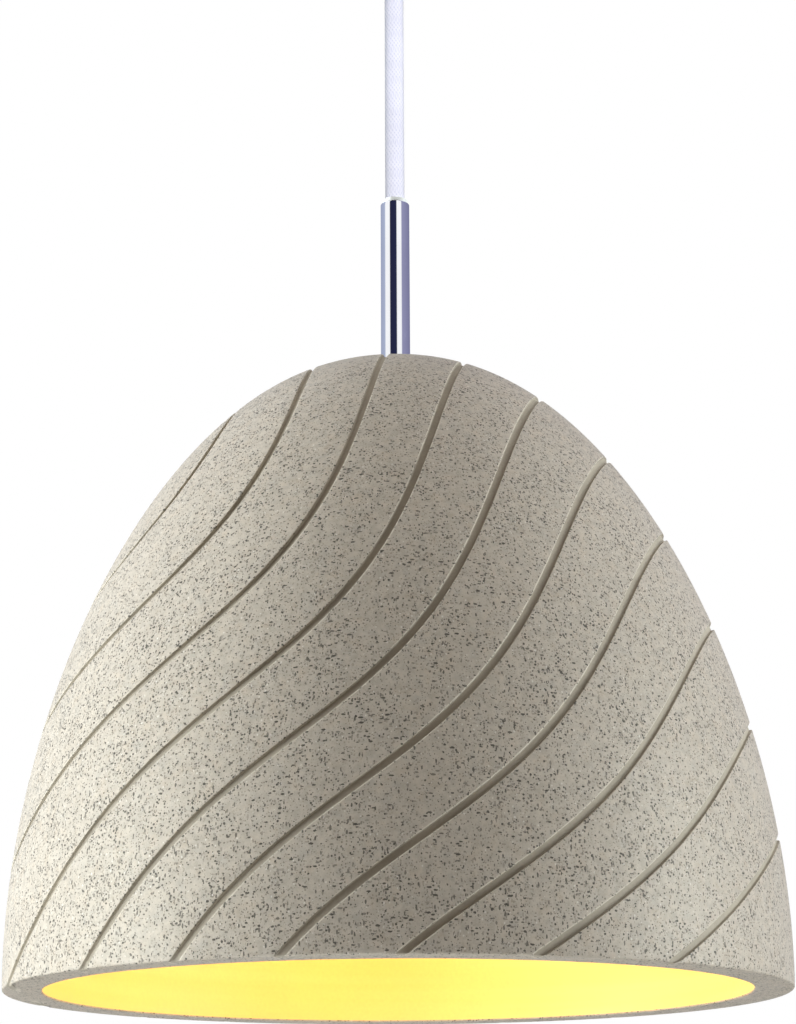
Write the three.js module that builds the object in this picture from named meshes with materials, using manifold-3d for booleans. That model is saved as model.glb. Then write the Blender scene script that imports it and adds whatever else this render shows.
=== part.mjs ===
// A pendant ceiling light: a cast dome shade with wavy grooves, on a bright stem and a braided cord.
//
// Millimetres, +Z up. The origin is the middle of the bracket's top face, where it lies on the ceiling, and
// everything hangs below it. Each group is one rigid body of the lamp.

import * as THREE from 'three';
import { mergeVertices } from 'three/addons/utils/BufferGeometryUtils.js';
import Module from 'manifold-3d';

const wasm = await Module();
wasm.setup();

// ---------------------------------------------------------------------------------------------------------
// Driving dimensions
// ---------------------------------------------------------------------------------------------------------

const clearance = 0.3; // kept between pieces that touch
const past = 1; // how far a cutter reaches beyond the face it cuts
const turn = 2 * Math.PI;

// Facets round a full circle
const wide = 32; // canopy and the inside of the shade
const domeSides = 44; // outside of the shade
const domeRows = 11;
const round = 20; // the tubes, the lampholder and the bulb
const small = 14; // washers and the like
const tiny = 8; // screws and their holes

// Shade
const shadeRadius = 125; // outside, at the rim
const shadeHeight = 210; // rim to crown
const shadeHipBulge = 3; // how far the pull of the side stands outside the rim
const shadeHipHeight = 97; // height of that pull above the rim
const shadeCrownPull = 74; // reach of the flat crown before it turns down
const rimWall = 12.5;
const sideWall = 12;
const crownWall = 13;
const crownSeatRadius = 9; // flat round the stem, outside
const crownBossRadius = 22; // flat under the crown, inside
const grooveCount = 10; // wavy cuts that run straight through the dome, front to back
const grooveWidth = 2.4;
const grooveDepth = 1;
const grooveSpacing = 22.7;
const grooveFirst = -6.76; // the uppermost cut on the left, in spacings from the middle of the rim
const grooveLean = THREE.MathUtils.degToRad(48.1); // of the lines that the waves follow, from +X
const grooveWaveHeight = 6.8;
const grooveWaveLength = 192;
const grooveWaveStart = THREE.MathUtils.degToRad(133);
const grooveSpread = 0.082; // the cuts draw apart by this much at grooveSpreadReach along them
const grooveSpreadReach = 100;
const grooveMiddle = 80; // distance along them at which all the cuts are on the dome
const grooveStep = 14; // length of the straight bits that a cut is made of

// Stem and what clamps the shade to it
const stemRadius = 5; // M10 x 1 tube
const stemBore = 3.9;
const stemRise = 62; // above the crown
const stemMouthRadius = 4.5;
const stemMouthDepth = 7;
const seatWasherRadius = 8;
const seatWasherThickness = 1;
const padWasherRadius = 20;
const padWasherThickness = 1.5;
const loadWasherRadius = 21;
const loadWasherThickness = 2.5;
const lockWasherRadius = 8.5;
const lockWasherThickness = 1.4;
const stemNutRadius = 8.1;
const stemNutThickness = 5;

// Cord
const cordRadius = 3.4;
const cordLength = 88; // free length, from the middle of the swivel ball to the bush
const cordSides = 12;
const cordTailDrop = 2; // the cord's end below the stem
const wireRadius = 1;
const bushFlangeRadius = 4.3;
const bushFlangeHeight = 1.6;
const bushDepth = 6;

// Cord grip and swivel ball
const swivelBallRadius = 7;
const swivelAngle = THREE.MathUtils.degToRad(20); // each way, about each axis
const swivelBallTop = 4.5; // flat above the ball's middle
const swivelBallBottom = 3.2; // flat below it
const swivelBallEye = 2; // hole that the conductors pass through
const gripLipDepth = 3.5; // lower lip, below the ball's middle
const gripBellWall = 1.3;
const gripNeckRadius = 6.6;
const gripNeckLength = 9;
const gripFlangeRadius = 9;
const gripFlangeThickness = 2.4;
const gripSetScrewDrop = 3.6; // below the flange
const gripThreadRadius = 4.95; // M10 x 1
const gripThreadLength = 8.6;
const gripWasherRadius = 8.5;
const gripWasherThickness = 1;
const gripNutRadius = 8.1;
const gripNutThickness = 3;
const setScrewRadius = 1.5;

// Canopy and bracket
const canopyRadius = 45;
const canopyDepth = 28;
const canopyWall = 1.2;
const canopyCorner = 7;
const canopyStandOff = 0.5; // from the ceiling
const strapWidth = 18;
const strapThickness = 2;
const strapBend = 4;
const strapLugDrop = 14;
const strapSlotOffset = 30;
const strapSlotLength = 11;
const strapSlotWidth = 5.2;
const sideScrewRadius = 1.9;
const sideScrewHeadRadius = 3.8;
const sideScrewHeadHeight = 2.4;
const sideScrewDrop = 8.5; // below the ceiling
const sideScrewReach = 3; // past the lug
const screwSlotWidth = 0.9;
const screwSlotDepth = 0.8;
const earthScrewOffset = -19.8;
const earthScrewHeadRadius = 3;
const earthScrewHeadHeight = 2.2;
const earthScrewRadius = 1.7;

// Terminal block
const blockLength = 30;
const blockWidth = 16;
const blockHeight = 12;
const poleSpacing = 9.5;
const poleDrop = 5.6; // below the block's top
const barrelRadius = 2.5;
const barrelLength = 14;
const barrelBore = 1.4;
const poleScrewRadius = 1.2;
const poleScrewOffset = 4.4;
const blockScrewRadius = 1.1;
const blockScrewHeadRadius = 1.9;
const blockScrewHeadHeight = 1.4;

// Lampholder, for an E27 bulb
const holderRadius = 19.5;
const holderWall = 2;
const holderNeckRadius = 8;
const holderNeckLength = 6;
const holderCapHeight = 24;
const holderCapCorner = 6.5;
const holderCoreThickness = 10;
const holderCoreRise = 4; // into the cap
const holderLedge = 2; // inside the shell, under the core
const holderShellLength = 37;
const holderShellFlare = 1;
const threadShellRadius = 14.3;
const threadShellWall = 0.6;
const threadShellLength = 25;
const centreContactRadius = 4;
const centreContactShank = 1.5;
const centreContactDrop = 4;
const centreContactMargin = 1.5; // between its shank and the thread shell
const capNutRadius = 8.1;
const capNutThickness = 3;
const earthTagRadius = 8;
const earthTagThickness = 0.8;
const earthTagReach = 12.5;
const earthTagWidth = 5;
const stemInHolder = 14; // stem end below the top of the neck
const coreScrewRadius = 1.6;
const coreScrewHeadRadius = 2.8;
const coreScrewHeadHeight = 2;
const coreScrewDepth = 7;
const coreScrewOffset = 9.5;

// Bulb
const bulbTipRadius = 4.4;
const bulbTipHeight = 2;
const bulbCapRadius = 13.15;
const bulbCapWall = 0.6;
const bulbCapLength = 22;
const bulbInsulatorHeight = 4;
const bulbBodyLength = 24;
const bulbBodyWall = 1.6;
const bulbSpigotLength = 3; // up inside the cap
const bulbNeckLength = 3;
const bulbNeckRadius = 13.4;
const bulbShoulderRadius = 22;
const bulbGlobeRadius = 30;
const bulbGlobeWall = 1.2;
const ledBoardThickness = 1.6;
const ledCount = 10;
const ledSize = 2.8;
const ledHeight = 0.8;
const ledRingRadius = 13.5;
const driverBoardWidth = 17;
const driverBoardLength = 17;
const driverBoardThickness = 1.6;
const driverPartHeight = 6;
const driverParts = [
  { x: -3.5, drop: 2, width: 6, length: 7 }, // coil
  { x: 4, drop: 1, width: 5, length: 9 }, // capacitor
];

// ---------------------------------------------------------------------------------------------------------
// Levels, worked out from the sizes above, going down from the ceiling. Those of what hangs, from bushTop on,
// are measured from the middle of the swivel ball.
// ---------------------------------------------------------------------------------------------------------

const canopyTop = -canopyStandOff;
const canopyBottom = canopyTop - canopyDepth;
const canopyFloor = canopyBottom + canopyWall;
const canopyInnerRadius = canopyRadius - canopyWall;
const strapHalf = Math.sqrt((canopyInnerRadius - clearance) ** 2 - (strapWidth / 2) ** 2);

const blockTop = -strapThickness - clearance;
const blockBottom = blockTop - blockHeight;
const poleLevel = blockTop - poleDrop;

const gripTop = canopyBottom - clearance;
const gripThreadTop = gripTop + gripThreadLength;
const gripSetScrewLevel = gripTop - gripFlangeThickness - gripSetScrewDrop;
const swivelSocketRadius = swivelBallRadius + clearance;
const swivelLevel = gripTop - gripFlangeThickness - gripNeckLength - swivelSocketRadius;
const cordBore = cordRadius + clearance;

const bushTop = -cordLength - clearance;
const stemTop = bushTop - bushFlangeHeight;
const crownLevel = stemTop - stemRise;
const seatWasherTop = crownLevel + clearance + seatWasherThickness;
const crownInside = crownLevel - crownWall;
const padTop = crownInside - clearance;
const loadTop = padTop - padWasherThickness - clearance;
const lockTop = loadTop - loadWasherThickness - clearance;
const stemNutTop = lockTop - lockWasherThickness - clearance;
const holderTop = stemNutTop - stemNutThickness - clearance;
const holderRoof = holderTop - holderNeckLength - holderWall; // inside
const holderSetScrewLevel = holderTop - holderNeckLength / 2;
const stemBottom = holderTop - stemInHolder;
const cordEnd = stemBottom - cordTailDrop;
const holderCapBottom = holderTop - holderNeckLength - holderCapHeight;
const coreTop = holderCapBottom + holderCoreRise;
const coreBottom = coreTop - holderCoreThickness;
const threadShellTop = coreBottom - clearance;
const centreContactTop = threadShellTop - threadShellWall - clearance;
const bulbTop = centreContactTop - centreContactDrop - clearance;

// ---------------------------------------------------------------------------------------------------------
// Solid tools
// ---------------------------------------------------------------------------------------------------------

// The geometry with its shared corners joined, no empty faces, and every face pointing outwards.
function closed(geometry) {
  const bare = new THREE.BufferGeometry();
  bare.setAttribute('position', geometry.getAttribute('position').clone());
  if (geometry.index) bare.setIndex(geometry.index.clone());
  const merged = mergeVertices(bare, 1e-4);
  const at = merged.getAttribute('position');
  const index = merged.index.array;
  const kept = [];
  const [a, b, c] = [new THREE.Vector3(), new THREE.Vector3(), new THREE.Vector3()];
  let volume = 0;
  for (let i = 0; i < index.length; i += 3) {
    const corner = [index[i], index[i + 1], index[i + 2]];
    if (corner[0] === corner[1] || corner[1] === corner[2] || corner[2] === corner[0]) continue;
    kept.push(corner);
    a.fromBufferAttribute(at, corner[0]);
    b.fromBufferAttribute(at, corner[1]);
    c.fromBufferAttribute(at, corner[2]);
    volume += a.dot(b.cross(c));
  }
  const outward = volume > 0 ? kept : kept.map(([i, j, k]) => [i, k, j]);
  merged.setIndex(outward.flat());
  return merged;
}

function solid(geometry) {
  const mesh = closed(geometry);
  const vertProperties = new Float32Array(mesh.getAttribute('position').array);
  const triVerts = new Uint32Array(mesh.index.array);
  return new wasm.Manifold(new wasm.Mesh({ numProp: 3, vertProperties, triVerts }));
}

function fromSolid(body) {
  const mesh = body.getMesh();
  const geometry = new THREE.BufferGeometry();
  geometry.setAttribute('position', new THREE.BufferAttribute(new Float32Array(mesh.vertProperties), 3));
  geometry.setIndex(new THREE.BufferAttribute(new Uint32Array(mesh.triVerts), 1));
  return geometry;
}

function cut(body, ...cutters) {
  return fromSolid(cutters.reduce((rest, cutter) => rest.subtract(solid(cutter)), solid(body)));
}

function join(body, ...others) {
  return fromSolid(others.reduce((whole, other) => whole.add(solid(other)), solid(body)));
}

// Turns an outline of [radius, height] points about Z.
function turned(outline, segments) {
  const points = outline.map(([radius, height]) => new THREE.Vector2(radius, height));
  return new THREE.LatheGeometry(points, segments).rotateX(Math.PI / 2);
}

function ring(inner, outer, low, high, segments) {
  return turned([[inner, low], [outer, low], [outer, high], [inner, high], [inner, low]], segments);
}

function rod(radius, low, high, segments, x = 0, y = 0) {
  const geometry = new THREE.CylinderGeometry(radius, radius, high - low, segments).rotateX(Math.PI / 2);
  return geometry.translate(x, y, (low + high) / 2);
}

function rodAlongX(radius, from, to, segments, y, z) {
  const geometry = new THREE.CylinderGeometry(radius, radius, Math.abs(to - from), segments);
  return geometry.rotateZ(Math.PI / 2).translate((from + to) / 2, y, z);
}

function rodAlongY(radius, from, to, segments, x, z) {
  const geometry = new THREE.CylinderGeometry(radius, radius, Math.abs(to - from), segments);
  return geometry.translate(x, (from + to) / 2, z);
}

function bar(x, y, z, width, depth, height) {
  return new THREE.BoxGeometry(width, depth, height).translate(x, y, z);
}

function hexNut(radius, bore, low, high) {
  return cut(rod(radius, low, high, 6), rod(bore, low - past, high + past, small));
}

// Points of an arc in the [radius, height] plane, both ends included.
function arc(centreRadius, centreHeight, radius, from, to, steps) {
  return Array.from({ length: steps + 1 }, (_, i) => {
    const angle = from + ((to - from) * i) / steps;
    return [centreRadius + radius * Math.cos(angle), centreHeight + radius * Math.sin(angle)];
  });
}

// A round bar of the given radius through the points, for a wire.
function wire(points) {
  const path = new THREE.CatmullRomCurve3(points.map((p) => new THREE.Vector3(...p)), false, 'centripetal');
  const section = new THREE.Shape().absarc(0, 0, wireRadius, 0, turn);
  return new THREE.ExtrudeGeometry(section, {
    extrudePath: path,
    steps: 8,
    curveSegments: 4, // eight sides
    bevelEnabled: false,
  });
}

// A screw along Z: the head from headLevel down by headHeight, the shank up to tipLevel.
function screw(headRadius, headLevel, headHeight, shankRadius, tipLevel, x, y) {
  const crown = headLevel - headHeight;
  const outline = [
    [0, crown],
    [headRadius * 0.7, crown],
    [headRadius, crown + headHeight * 0.5],
    [headRadius, headLevel],
    [shankRadius, headLevel],
    [shankRadius, tipLevel],
    [0, tipLevel],
  ];
  return turned(outline, tiny).translate(x, y, 0);
}

// ---------------------------------------------------------------------------------------------------------
// Materials
// ---------------------------------------------------------------------------------------------------------

const finishes = {
  castStone: [0xb5ab9b, 0.7, 0],
  chrome: [0xdadce2, 0.08, 1],
  zincSteel: [0xb9bcc0, 0.35, 0.9],
  brass: [0xc9a24b, 0.3, 1],
  whitePlastic: [0xf2f1ee, 0.45, 0],
  whiteBraid: [0xf1f1f6, 0.85, 0],
  blackRubber: [0x24242a, 0.8, 0],
  porcelain: [0xf4f1ea, 0.35, 0],
  opalGlass: [0xfff4d8, 0.4, 0],
  blackGlass: [0x1d1d22, 0.25, 0],
  greenBoard: [0x2f6b46, 0.6, 0],
  whiteBoard: [0xf6f6f2, 0.5, 0],
  brownWire: [0x6b4028, 0.5, 0],
  blueWire: [0x2b5fae, 0.5, 0],
  greenWire: [0x4c9a48, 0.5, 0],
};

function piece(name, finish, geometry) {
  const [color, roughness, metalness] = finishes[finish];
  const material = new THREE.MeshStandardMaterial({ color, roughness, metalness });
  const mesh = new THREE.Mesh(closed(geometry), material);
  mesh.name = name;
  return mesh;
}

// ---------------------------------------------------------------------------------------------------------
// Ceiling end
// ---------------------------------------------------------------------------------------------------------

function mountingBracket() {
  const inner = strapBend - strapThickness;
  const corner = strapHalf - strapBend;
  const side = new THREE.Shape();
  side.moveTo(-strapHalf, -strapLugDrop);
  side.lineTo(-strapHalf, -strapBend);
  side.absarc(-corner, -strapBend, strapBend, Math.PI, Math.PI / 2, true);
  side.absarc(corner, -strapBend, strapBend, Math.PI / 2, 0, true);
  side.lineTo(strapHalf, -strapLugDrop);
  side.lineTo(strapHalf - strapThickness, -strapLugDrop);
  side.lineTo(strapHalf - strapThickness, -strapBend);
  side.absarc(corner, -strapBend, inner, 0, Math.PI / 2, false);
  side.absarc(-corner, -strapBend, inner, Math.PI / 2, Math.PI, false);
  side.lineTo(-strapHalf + strapThickness, -strapLugDrop);
  side.closePath();
  const strap = new THREE.ExtrudeGeometry(side, { depth: strapWidth, bevelEnabled: false, curveSegments: 4 });
  strap.rotateX(Math.PI / 2).translate(0, strapWidth / 2, 0);

  const slotRound = strapSlotWidth / 2;
  const slotHalf = strapSlotLength / 2 - slotRound;
  const slots = [-1, 1].map((way) => {
    const slot = new THREE.Shape();
    slot.absarc(slotHalf, 0, slotRound, -Math.PI / 2, Math.PI / 2, false);
    slot.absarc(-slotHalf, 0, slotRound, Math.PI / 2, 1.5 * Math.PI, false);
    slot.closePath();
    const cutter = new THREE.ExtrudeGeometry(slot, {
      depth: strapThickness + 2 * past,
      bevelEnabled: false,
      curveSegments: 4,
    });
    return cutter.translate(way * strapSlotOffset, 0, -strapThickness - past);
  });
  const lugEnd = strapHalf + past;
  const lugHole = rodAlongX(sideScrewRadius + clearance, -lugEnd, lugEnd, tiny, 0, -sideScrewDrop);
  const through = -strapThickness - past;
  const blockHoles = [-1, 1].map((way) =>
    rod(blockScrewRadius + clearance, through, past, tiny, (way * poleSpacing) / 2, 0),
  );
  const earthHole = rod(earthScrewRadius + clearance, through, past, tiny, earthScrewOffset, 0);
  return piece('mounting_bracket', 'zincSteel', cut(strap, ...slots, lugHole, ...blockHoles, earthHole));
}

function canopyCup() {
  const bend = canopyRadius - canopyCorner;
  const bendLevel = canopyBottom + canopyCorner;
  const holeRadius = gripThreadRadius + clearance;
  const outline = [
    [canopyInnerRadius, canopyTop],
    [canopyRadius, canopyTop],
    ...arc(bend, bendLevel, canopyCorner, 0, -Math.PI / 2, 3),
    [holeRadius, canopyBottom],
    [holeRadius, canopyFloor],
    ...arc(bend, bendLevel, canopyCorner - canopyWall, -Math.PI / 2, 0, 3),
    [canopyInnerRadius, canopyTop],
  ];
  const end = canopyRadius + past;
  const holes = rodAlongX(sideScrewRadius + clearance, -end, end, tiny, 0, -sideScrewDrop);
  return piece('canopy_cup', 'chrome', cut(turned(outline, wide), holes));
}

function canopyScrew(name, way) {
  const under = canopyRadius + clearance;
  const tip = strapHalf - strapThickness - sideScrewReach;
  const outline = [
    [0, under + sideScrewHeadHeight],
    [sideScrewHeadRadius * 0.55, under + sideScrewHeadHeight * 0.92],
    [sideScrewHeadRadius * 0.9, under + sideScrewHeadHeight * 0.6],
    [sideScrewHeadRadius, under],
    [sideScrewRadius, under],
    [sideScrewRadius, tip],
    [0, tip],
  ];
  const slotLength = 2 * (sideScrewHeadRadius + past);
  const slot = bar(0, 0, under + sideScrewHeadHeight, screwSlotWidth, slotLength, 2 * screwSlotDepth);
  const geometry = cut(turned(outline, tiny), slot);
  geometry.rotateY((way * Math.PI) / 2).translate(0, 0, -sideScrewDrop);
  return piece(name, 'chrome', geometry);
}

const poles = { live: -1, neutral: 0, earth: 1 };

function terminalBlock() {
  const half = blockWidth / 2;
  const cutters = [];
  for (const way of Object.values(poles)) {
    const x = way * poleSpacing;
    cutters.push(rodAlongY(barrelRadius + clearance, -half - past, half + past, tiny, x, poleLevel));
    for (const side of [-1, 1]) {
      const y = side * poleScrewOffset;
      cutters.push(rod(poleScrewRadius + clearance, blockBottom - past, poleLevel, tiny, x, y));
    }
  }
  for (const side of [-1, 1]) {
    const x = (side * poleSpacing) / 2;
    cutters.push(rod(blockScrewRadius + clearance, blockBottom - past, blockTop + past, tiny, x, 0));
  }
  const middle = (blockTop + blockBottom) / 2;
  return piece('terminal_block', 'whitePlastic',
    cut(bar(0, 0, middle, blockLength, blockWidth, blockHeight), ...cutters));
}

function terminalBarrel(pole) {
  const x = poles[pole] * poleSpacing;
  const half = barrelLength / 2;
  const under = poleLevel - barrelRadius - past;
  const screwHoles = [-1, 1].map((side) =>
    rod(poleScrewRadius + clearance, under, poleLevel, tiny, x, side * poleScrewOffset),
  );
  const bore = rodAlongY(barrelBore, -half - past, half + past, tiny, x, poleLevel);
  const body = rodAlongY(barrelRadius, -half, half, tiny, x, poleLevel);
  return piece(`terminal_barrel_${pole}`, 'brass', cut(body, bore, ...screwHoles));
}

function terminalScrew(pole, end, side) {
  const tip = poleLevel - barrelBore;
  const x = poles[pole] * poleSpacing;
  const body = rod(poleScrewRadius, blockBottom + clearance, tip, tiny, x, side * poleScrewOffset);
  return piece(`terminal_screw_${pole}_${end}`, 'brass', body);
}

function blockScrew(name, way) {
  const head = blockBottom - clearance;
  const body = screw(blockScrewHeadRadius, head, blockScrewHeadHeight, blockScrewRadius, -clearance,
    (way * poleSpacing) / 2, 0);
  return piece(name, 'zincSteel', body);
}

function earthScrew() {
  const head = -strapThickness - clearance;
  const body = screw(earthScrewHeadRadius, head, earthScrewHeadHeight, earthScrewRadius, -clearance,
    earthScrewOffset, 0);
  return piece('earth_screw', 'brass', body);
}

// The three cores rise out of the cord's end and loop up into the block's barrels.
function supplyWire(pole, finish) {
  const way = poles[pole];
  const x = way * poleSpacing;
  const start = gripThreadTop + clearance;
  const startX = way * (wireRadius + clearance) * 1.1;
  const startY = way === 0 ? wireRadius + clearance : -wireRadius * 0.6;
  const face = -blockWidth / 2;
  return piece(`supply_wire_${pole}`, finish, wire([
    [startX, startY, start],
    [startX, startY - 0.3, start + 1.5],
    [(startX + x) / 2, (startY + face) / 2 - 1, start + 3],
    [x, face - 3.6, (start + poleLevel) / 2 + 1],
    [x, face - 3.2, poleLevel - 1.6],
    [x, face - 0.6, poleLevel],
    [x, face + 2.6, poleLevel],
  ]));
}

function cordGrip() {
  const bell = swivelSocketRadius + gripBellWall;
  const lip = swivelLevel - gripLipDepth;
  const neckBottom = gripTop - gripFlangeThickness - gripNeckLength;
  const seatAngle = Math.asin(gripLipDepth / swivelSocketRadius);
  const boreAngle = Math.acos(cordBore / swivelSocketRadius);
  const outline = [
    ...arc(0, swivelLevel, swivelSocketRadius, -seatAngle, boreAngle, 6),
    [cordBore, gripThreadTop],
    [gripThreadRadius, gripThreadTop],
    [gripThreadRadius, gripTop],
    [gripFlangeRadius, gripTop],
    [gripFlangeRadius, gripTop - gripFlangeThickness],
    [gripNeckRadius, gripTop - gripFlangeThickness - 1],
    [gripNeckRadius, neckBottom + 2],
    [bell, swivelLevel + 2],
    [bell, lip],
    [swivelSocketRadius * Math.cos(seatAngle), lip],
  ];
  const outside = -gripNeckRadius - past;
  const setScrewHole = rodAlongY(setScrewRadius + clearance, outside, 0, tiny, 0, gripSetScrewLevel);
  return piece('cord_grip', 'chrome', cut(turned(outline, round), setScrewHole));
}

function gripSetScrew() {
  const inside = -cordRadius - clearance;
  const body = rodAlongY(setScrewRadius, -gripNeckRadius, inside, tiny, 0, gripSetScrewLevel);
  return piece('grip_set_screw', 'zincSteel', body);
}

function gripWasher() {
  const low = canopyFloor + clearance;
  return piece('grip_washer', 'zincSteel',
    ring(gripThreadRadius + clearance, gripWasherRadius, low, low + gripWasherThickness, small));
}

function gripNut() {
  const low = canopyFloor + 2 * clearance + gripWasherThickness;
  return piece('grip_nut', 'zincSteel',
    hexNut(gripNutRadius, gripThreadRadius + clearance, low, low + gripNutThickness));
}

function cordHead() {
  const bottom = swivelLevel + swivelSocketRadius + clearance;
  return piece('cord_head', 'whiteBraid', rod(cordRadius, bottom, gripThreadTop, cordSides));
}

// ---------------------------------------------------------------------------------------------------------
// Swivel ball and cord, with the swivel's middle as their origin
// ---------------------------------------------------------------------------------------------------------

function swivelBall() {
  const topAngle = Math.asin(swivelBallTop / swivelBallRadius);
  const bottomAngle = Math.asin(swivelBallBottom / swivelBallRadius);
  const eyeAngle = Math.acos(swivelBallEye / cordBore);
  const waist = cordRadius / Math.cos(swivelAngle) + clearance;
  const mouth = waist + swivelBallBottom * Math.tan(swivelAngle);
  const outline = [
    ...arc(0, 0, swivelBallRadius, -bottomAngle, topAngle, 5),
    [swivelBallEye, swivelBallTop],
    ...arc(0, 0, cordBore, eyeAngle, 0, 3),
    [waist, 0],
    [mouth, -swivelBallBottom],
    [swivelBallRadius * Math.cos(bottomAngle), -swivelBallBottom],
  ];
  return piece('swivel_ball', 'whitePlastic', turned(outline, small));
}

function cord() {
  const path = new THREE.LineCurve3(new THREE.Vector3(0, 0, 0), new THREE.Vector3(0, 0, -cordLength));
  const section = new THREE.Shape().absarc(0, 0, cordRadius, 0, turn);
  const tube = new THREE.ExtrudeGeometry(section, {
    extrudePath: path,
    steps: 6,
    curveSegments: cordSides / 2,
    bevelEnabled: false,
  });
  return piece('cord', 'whiteBraid', tube);
}

// ---------------------------------------------------------------------------------------------------------
// Stem and shade, in the same frame as the cord
// ---------------------------------------------------------------------------------------------------------

function cordBush() {
  const spigot = stemMouthRadius - clearance;
  const outline = [
    [cordBore, bushTop],
    [bushFlangeRadius - 0.4, bushTop],
    [bushFlangeRadius, bushTop - 0.4],
    [bushFlangeRadius, stemTop + clearance],
    [spigot, stemTop + clearance],
    [spigot, stemTop - bushDepth],
    [cordBore, stemTop - bushDepth],
    [cordBore, bushTop],
  ];
  return piece('cord_bush', 'whitePlastic', turned(outline, small));
}

function stemTube() {
  const edge = 0.3;
  const outline = [
    [stemMouthRadius, stemTop],
    [stemRadius - edge, stemTop],
    [stemRadius, stemTop - edge],
    [stemRadius, stemBottom],
    [stemBore, stemBottom],
    [stemBore, stemTop - stemMouthDepth],
    [stemMouthRadius, stemTop - stemMouthDepth],
    [stemMouthRadius, stemTop],
  ];
  return piece('stem_tube', 'chrome', turned(outline, round));
}

function washer(name, finish, radius, top, thickness) {
  return piece(name, finish, ring(stemRadius + clearance, radius, top - thickness, top, small));
}

const domeCurve = new THREE.CubicBezierCurve(
  new THREE.Vector2(crownSeatRadius, shadeHeight),
  new THREE.Vector2(shadeCrownPull, shadeHeight),
  new THREE.Vector2(shadeRadius + shadeHipBulge, shadeHipHeight),
  new THREE.Vector2(shadeRadius, 0),
);

// The place on the dome's curve at a height: 0 at the crown and 1 at the rim.
function domeShare(height) {
  let [above, below] = [0, 1];
  for (let i = 0; i < 30; i += 1) {
    const share = (above + below) / 2;
    if (domeCurve.getPoint(share).y > height) above = share;
    else below = share;
  }
  return above;
}

// A point of one groove on the front of the dome, the given distance along the line that it waves about.
// Its y is negative, or positive where the line lies outside the dome.
function groovePoint(number, along) {
  const wave = grooveWaveHeight * Math.sin((turn * along) / grooveWaveLength + grooveWaveStart);
  const spread = 1 - grooveSpread * (along / grooveSpreadReach) ** 2;
  const aside = (grooveSpacing * (grooveFirst + number) - wave) / spread;
  const x = along * Math.cos(grooveLean) + aside * Math.sin(grooveLean);
  const height = along * Math.sin(grooveLean) - aside * Math.cos(grooveLean);
  const radius = domeCurve.getPoint(domeShare(height)).x;
  const inside = radius ** 2 - x ** 2;
  return new THREE.Vector3(x, -Math.sign(inside) * Math.sqrt(Math.abs(inside)), height);
}

// Where a groove leaves the front of the dome, going from a distance along it that is still on the dome.
function grooveEnd(number, from, step) {
  const off = ({ y, z: height }) => y > 0 || height < -past || height > shadeHeight;
  let [on, beyond] = [from, from + step];
  while (!off(groovePoint(number, beyond))) [on, beyond] = [beyond, beyond + step];
  for (let i = 0; i < 30; i += 1) {
    const along = (on + beyond) / 2;
    if (off(groovePoint(number, along))) beyond = along;
    else on = along;
  }
  return on;
}

// A bar laid along the front half of one groove, square to the dome all the way. It goes on a little round
// the sides of the dome, where it meets the bar of the back half.
function grooveBar(number) {
  const [low, high] = [grooveEnd(number, grooveMiddle, -1), grooveEnd(number, grooveMiddle, 1)];
  const bends = 60;
  const line = Array.from({ length: bends + 1 }, (_, i) => {
    const share = (1 - Math.cos((Math.PI * i) / bends)) / 2;
    return groovePoint(number, low + (high - low) * share);
  });
  for (const end of [line[0], line[bends]]) if (end.z > 0) end.y = past;
  const path = new THREE.CatmullRomCurve3(line, false, 'centripetal');
  const steps = Math.ceil(path.getLength() / grooveStep);
  const spots = path.getSpacedPoints(steps);
  const bar = new THREE.BoxGeometry(grooveWidth, grooveDepth + past, steps, 1, 1, steps);
  const corner = bar.getAttribute('position');
  const [across, up, at] = [new THREE.Vector3(), new THREE.Vector3(), new THREE.Vector3()];
  for (let i = 0; i < corner.count; i += 1) {
    const station = Math.round(corner.getZ(i) + steps / 2);
    const spot = spots[station];
    const slope = domeCurve.getTangent(domeShare(spot.z));
    const radius = Math.hypot(spot.x, spot.y);
    up.set((-slope.y * spot.x) / radius, (-slope.y * spot.y) / radius, slope.x);
    across.subVectors(spots[Math.min(station + 1, steps)], spots[Math.max(station - 1, 0)]);
    across.cross(up).normalize();
    at.copy(spot).addScaledVector(across, corner.getX(i));
    at.addScaledVector(up, corner.getY(i) + (past - grooveDepth) / 2);
    corner.setXYZ(i, at.x, at.y, at.z);
  }
  return bar;
}

// The dome is turned from one curve, and bars as wide as the grooves are cut out of it.
function shade() {
  const rimLevel = crownLevel - shadeHeight;
  const outline = domeCurve.getPoints(domeRows).map(({ x, y }) => [x, y]);
  const outside = turned([[0, shadeHeight], ...outline, [0, 0]], domeSides);
  const inside = new THREE.CubicBezierCurve(
    new THREE.Vector2(crownBossRadius, shadeHeight - crownWall),
    new THREE.Vector2(shadeCrownPull - sideWall / 2, shadeHeight - crownWall),
    new THREE.Vector2(shadeRadius + shadeHipBulge - sideWall, shadeHipHeight - sideWall / 2),
    new THREE.Vector2(shadeRadius - rimWall, 0),
  );
  const hollow = [
    [0, shadeHeight - crownWall],
    ...inside.getPoints(9).map(({ x, y }) => [x, y]),
    [shadeRadius - rimWall, -past],
    [0, -past],
  ];
  const stemHole = rod(stemRadius + clearance, shadeHeight - crownWall - past, shadeHeight + past, small);
  const front = Array.from({ length: grooveCount }, (_, number) => grooveBar(number));
  const back = front.map((bar) => bar.clone().scale(1, -1, 1));
  const body = cut(outside, ...front, ...back, turned(hollow, wide), stemHole);
  return piece('shade', 'castStone', body.translate(0, 0, rimLevel));
}

// ---------------------------------------------------------------------------------------------------------
// Lampholder
// ---------------------------------------------------------------------------------------------------------

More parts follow.
